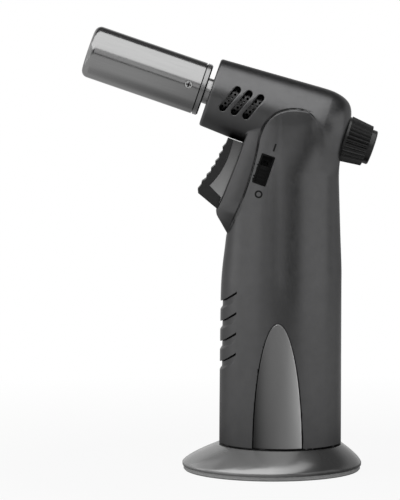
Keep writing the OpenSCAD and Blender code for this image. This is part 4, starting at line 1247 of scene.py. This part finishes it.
def add_world():
    """A dim room with a white backdrop behind the object."""
    world = bpy.data.worlds.new("studio")
    bpy.context.scene.world = world
    world.use_nodes = True
    tree = world.node_tree
    white = tree.nodes["Background"]
    white.inputs["Color"].default_value = (1, 1, 1, 1)
    white.inputs["Strength"].default_value = 1
    room = tree.nodes.new("ShaderNodeBackground")
    room.inputs["Color"].default_value = (1, 1, 1, 1)
    room.inputs["Strength"].default_value = ROOM
    place = tree.nodes.new("ShaderNodeTexCoord")
    axes = tree.nodes.new("ShaderNodeSeparateXYZ")
    tree.links.new(place.outputs["Generated"], axes.inputs["Vector"])
    low = spread(tree, axes.outputs["Z"], BACKDROP_TOP, BACKDROP_FADE, 1, 0)
    behind = spread(tree, axes.outputs["Y"], BACKDROP_SIDE, BACKDROP_BACK, 0, 1)
    mix = tree.nodes.new("ShaderNodeMixShader")
    tree.links.new(seen(tree, math_node(tree, "MULTIPLY", low, behind)), mix.inputs["Fac"])
    tree.links.new(room.outputs["Background"], mix.inputs[1])
    tree.links.new(white.outputs["Background"], mix.inputs[2])
    tree.links.new(mix.outputs["Shader"], tree.nodes["World Output"].inputs["Surface"])


FLOOR_R = 1.6
FLOOR_SIDES = 96
FLOOR_LEDGE = 3.5
FLOOR_DROP = 0.05
FLOOR_GREY = 0.25
FLOOR_GLOW = 0.92
SHADOW_R = 0.09
SHADOW_END = 0.3
# How white the floor looks in metal: dim close to the object and far in front of it, pale to both
# sides of it and further out on the left
MIRRORED_DIM = 0.1
MIRRORED_PALE = 1
CLOSE_START = 0.09
CLOSE_END = 0.15
PALE_START = 0.06
PALE_END = 0.1
FAR_START = 0.5
FAR_END = 0.75
FAR_SHARE = 0.6


def floor_material():
    """Pale floor that glows to the eye and keeps a soft shadow round the object."""
    material, shader = new_material("floor", grey(FLOOR_GREY), metallic=0, roughness=0.9, specular=0.1)
    tree = material.node_tree
    glow = tree.nodes.new("ShaderNodeEmission")
    glow.inputs["Strength"].default_value = 1
    place = tree.nodes.new("ShaderNodeTexCoord")
    distance = tree.nodes.new("ShaderNodeVectorMath")
    distance.operation = "LENGTH"
    tree.links.new(place.outputs["Object"], distance.inputs[0])
    far = spread(tree, distance.outputs["Value"], SHADOW_R, SHADOW_END, FLOOR_GLOW, 1)
    axes = tree.nodes.new("ShaderNodeSeparateXYZ")
    tree.links.new(place.outputs["Object"], axes.inputs["Vector"])
    beside = math_node(tree, "ABSOLUTE", axes.outputs["X"], 0)
    pale = spread(tree, beside, PALE_START, PALE_END, MIRRORED_DIM, MIRRORED_PALE)
    share = math_node(tree, "MULTIPLY", beside, FAR_SHARE)
    front = math_node(tree, "SUBTRACT", distance.outputs["Value"], share)
    dim = spread(tree, front, FAR_START, FAR_END, MIRRORED_PALE, MIRRORED_DIM)
    left = spread(tree, axes.outputs["X"], -PALE_END, -PALE_START, MIRRORED_PALE, MIRRORED_DIM)
    close = spread(tree, distance.outputs["Value"], CLOSE_START, CLOSE_END, MIRRORED_DIM, MIRRORED_PALE)
    mirrored = math_node(tree, "MAXIMUM", left, math_node(tree, "MINIMUM", pale, dim))
    mirrored = math_node(tree, "MINIMUM", mirrored, close)
    mix = tree.nodes.new("ShaderNodeMixShader")
    tree.links.new(math_node(tree, "MULTIPLY", seen(tree, mirrored), far), mix.inputs["Fac"])
    tree.links.new(shader.outputs["BSDF"], mix.inputs[1])
    tree.links.new(glow.outputs["Emission"], mix.inputs[2])
    tree.links.new(mix.outputs["Shader"], tree.nodes["Material Output"].inputs["Surface"])
    return material


def add_floor():
    """A ring whose hole, hidden by the foot, leaves the underside open to view."""
    turn = np.linspace(0, 2 * math.pi, FLOOR_SIDES, endpoint=False)
    circle = np.stack([np.cos(turn), np.sin(turn), 0 * turn], 1)
    hole = (FOOT_R - FLOOR_LEDGE) * circle - np.array((FOOT_SHIFT, 0, 0))
    vertices = np.concatenate([hole, FLOOR_R / MM * circle]) - np.array((0, 0, FLOOR_DROP))
    here = np.arange(FLOOR_SIDES)
    after = np.roll(here, -1)
    quads = np.stack([here, here + FLOOR_SIDES, after + FLOOR_SIDES, after], 1)
    mesh_object("floor", vertices, [quads], floor_material())


# Name, place, target, size and radiance of each lamp, in metres
LAMPS = [
    ("overhead_softbox", (-0.305, -0.78, 0.75), (-0.305, -0.78, 0), (1.29, 1.94), 2.6),
    ("front_softbox", (-0.03, -1.4, 0.36), (-0.03, 0, 0.36), (0.26, 0.46), 1.0),
    ("fill_softbox", (-0.72, -1.2, 0.3), (0, 0, 0.2), (0.5, 0.6), 0.4),
    ("left_softbox", (-0.95, -0.3, 0.4), (0, -0.3, 0.35), (1.5, 0.8), 1.0),
    ("back_softbox", (-0.75, 0.6, 0.7), (0, 0, 0), (0.9, 0.5), 0.6),
    ("right_softbox", (0.82, -0.38, 0.4), (0, 0, 0.3), (1.1, 0.8), 1.05),
]

add_camera()
add_world()
add_floor()
for lamp in LAMPS:
    add_softbox(*lamp)
bpy.context.scene.view_settings.view_transform = "Standard"
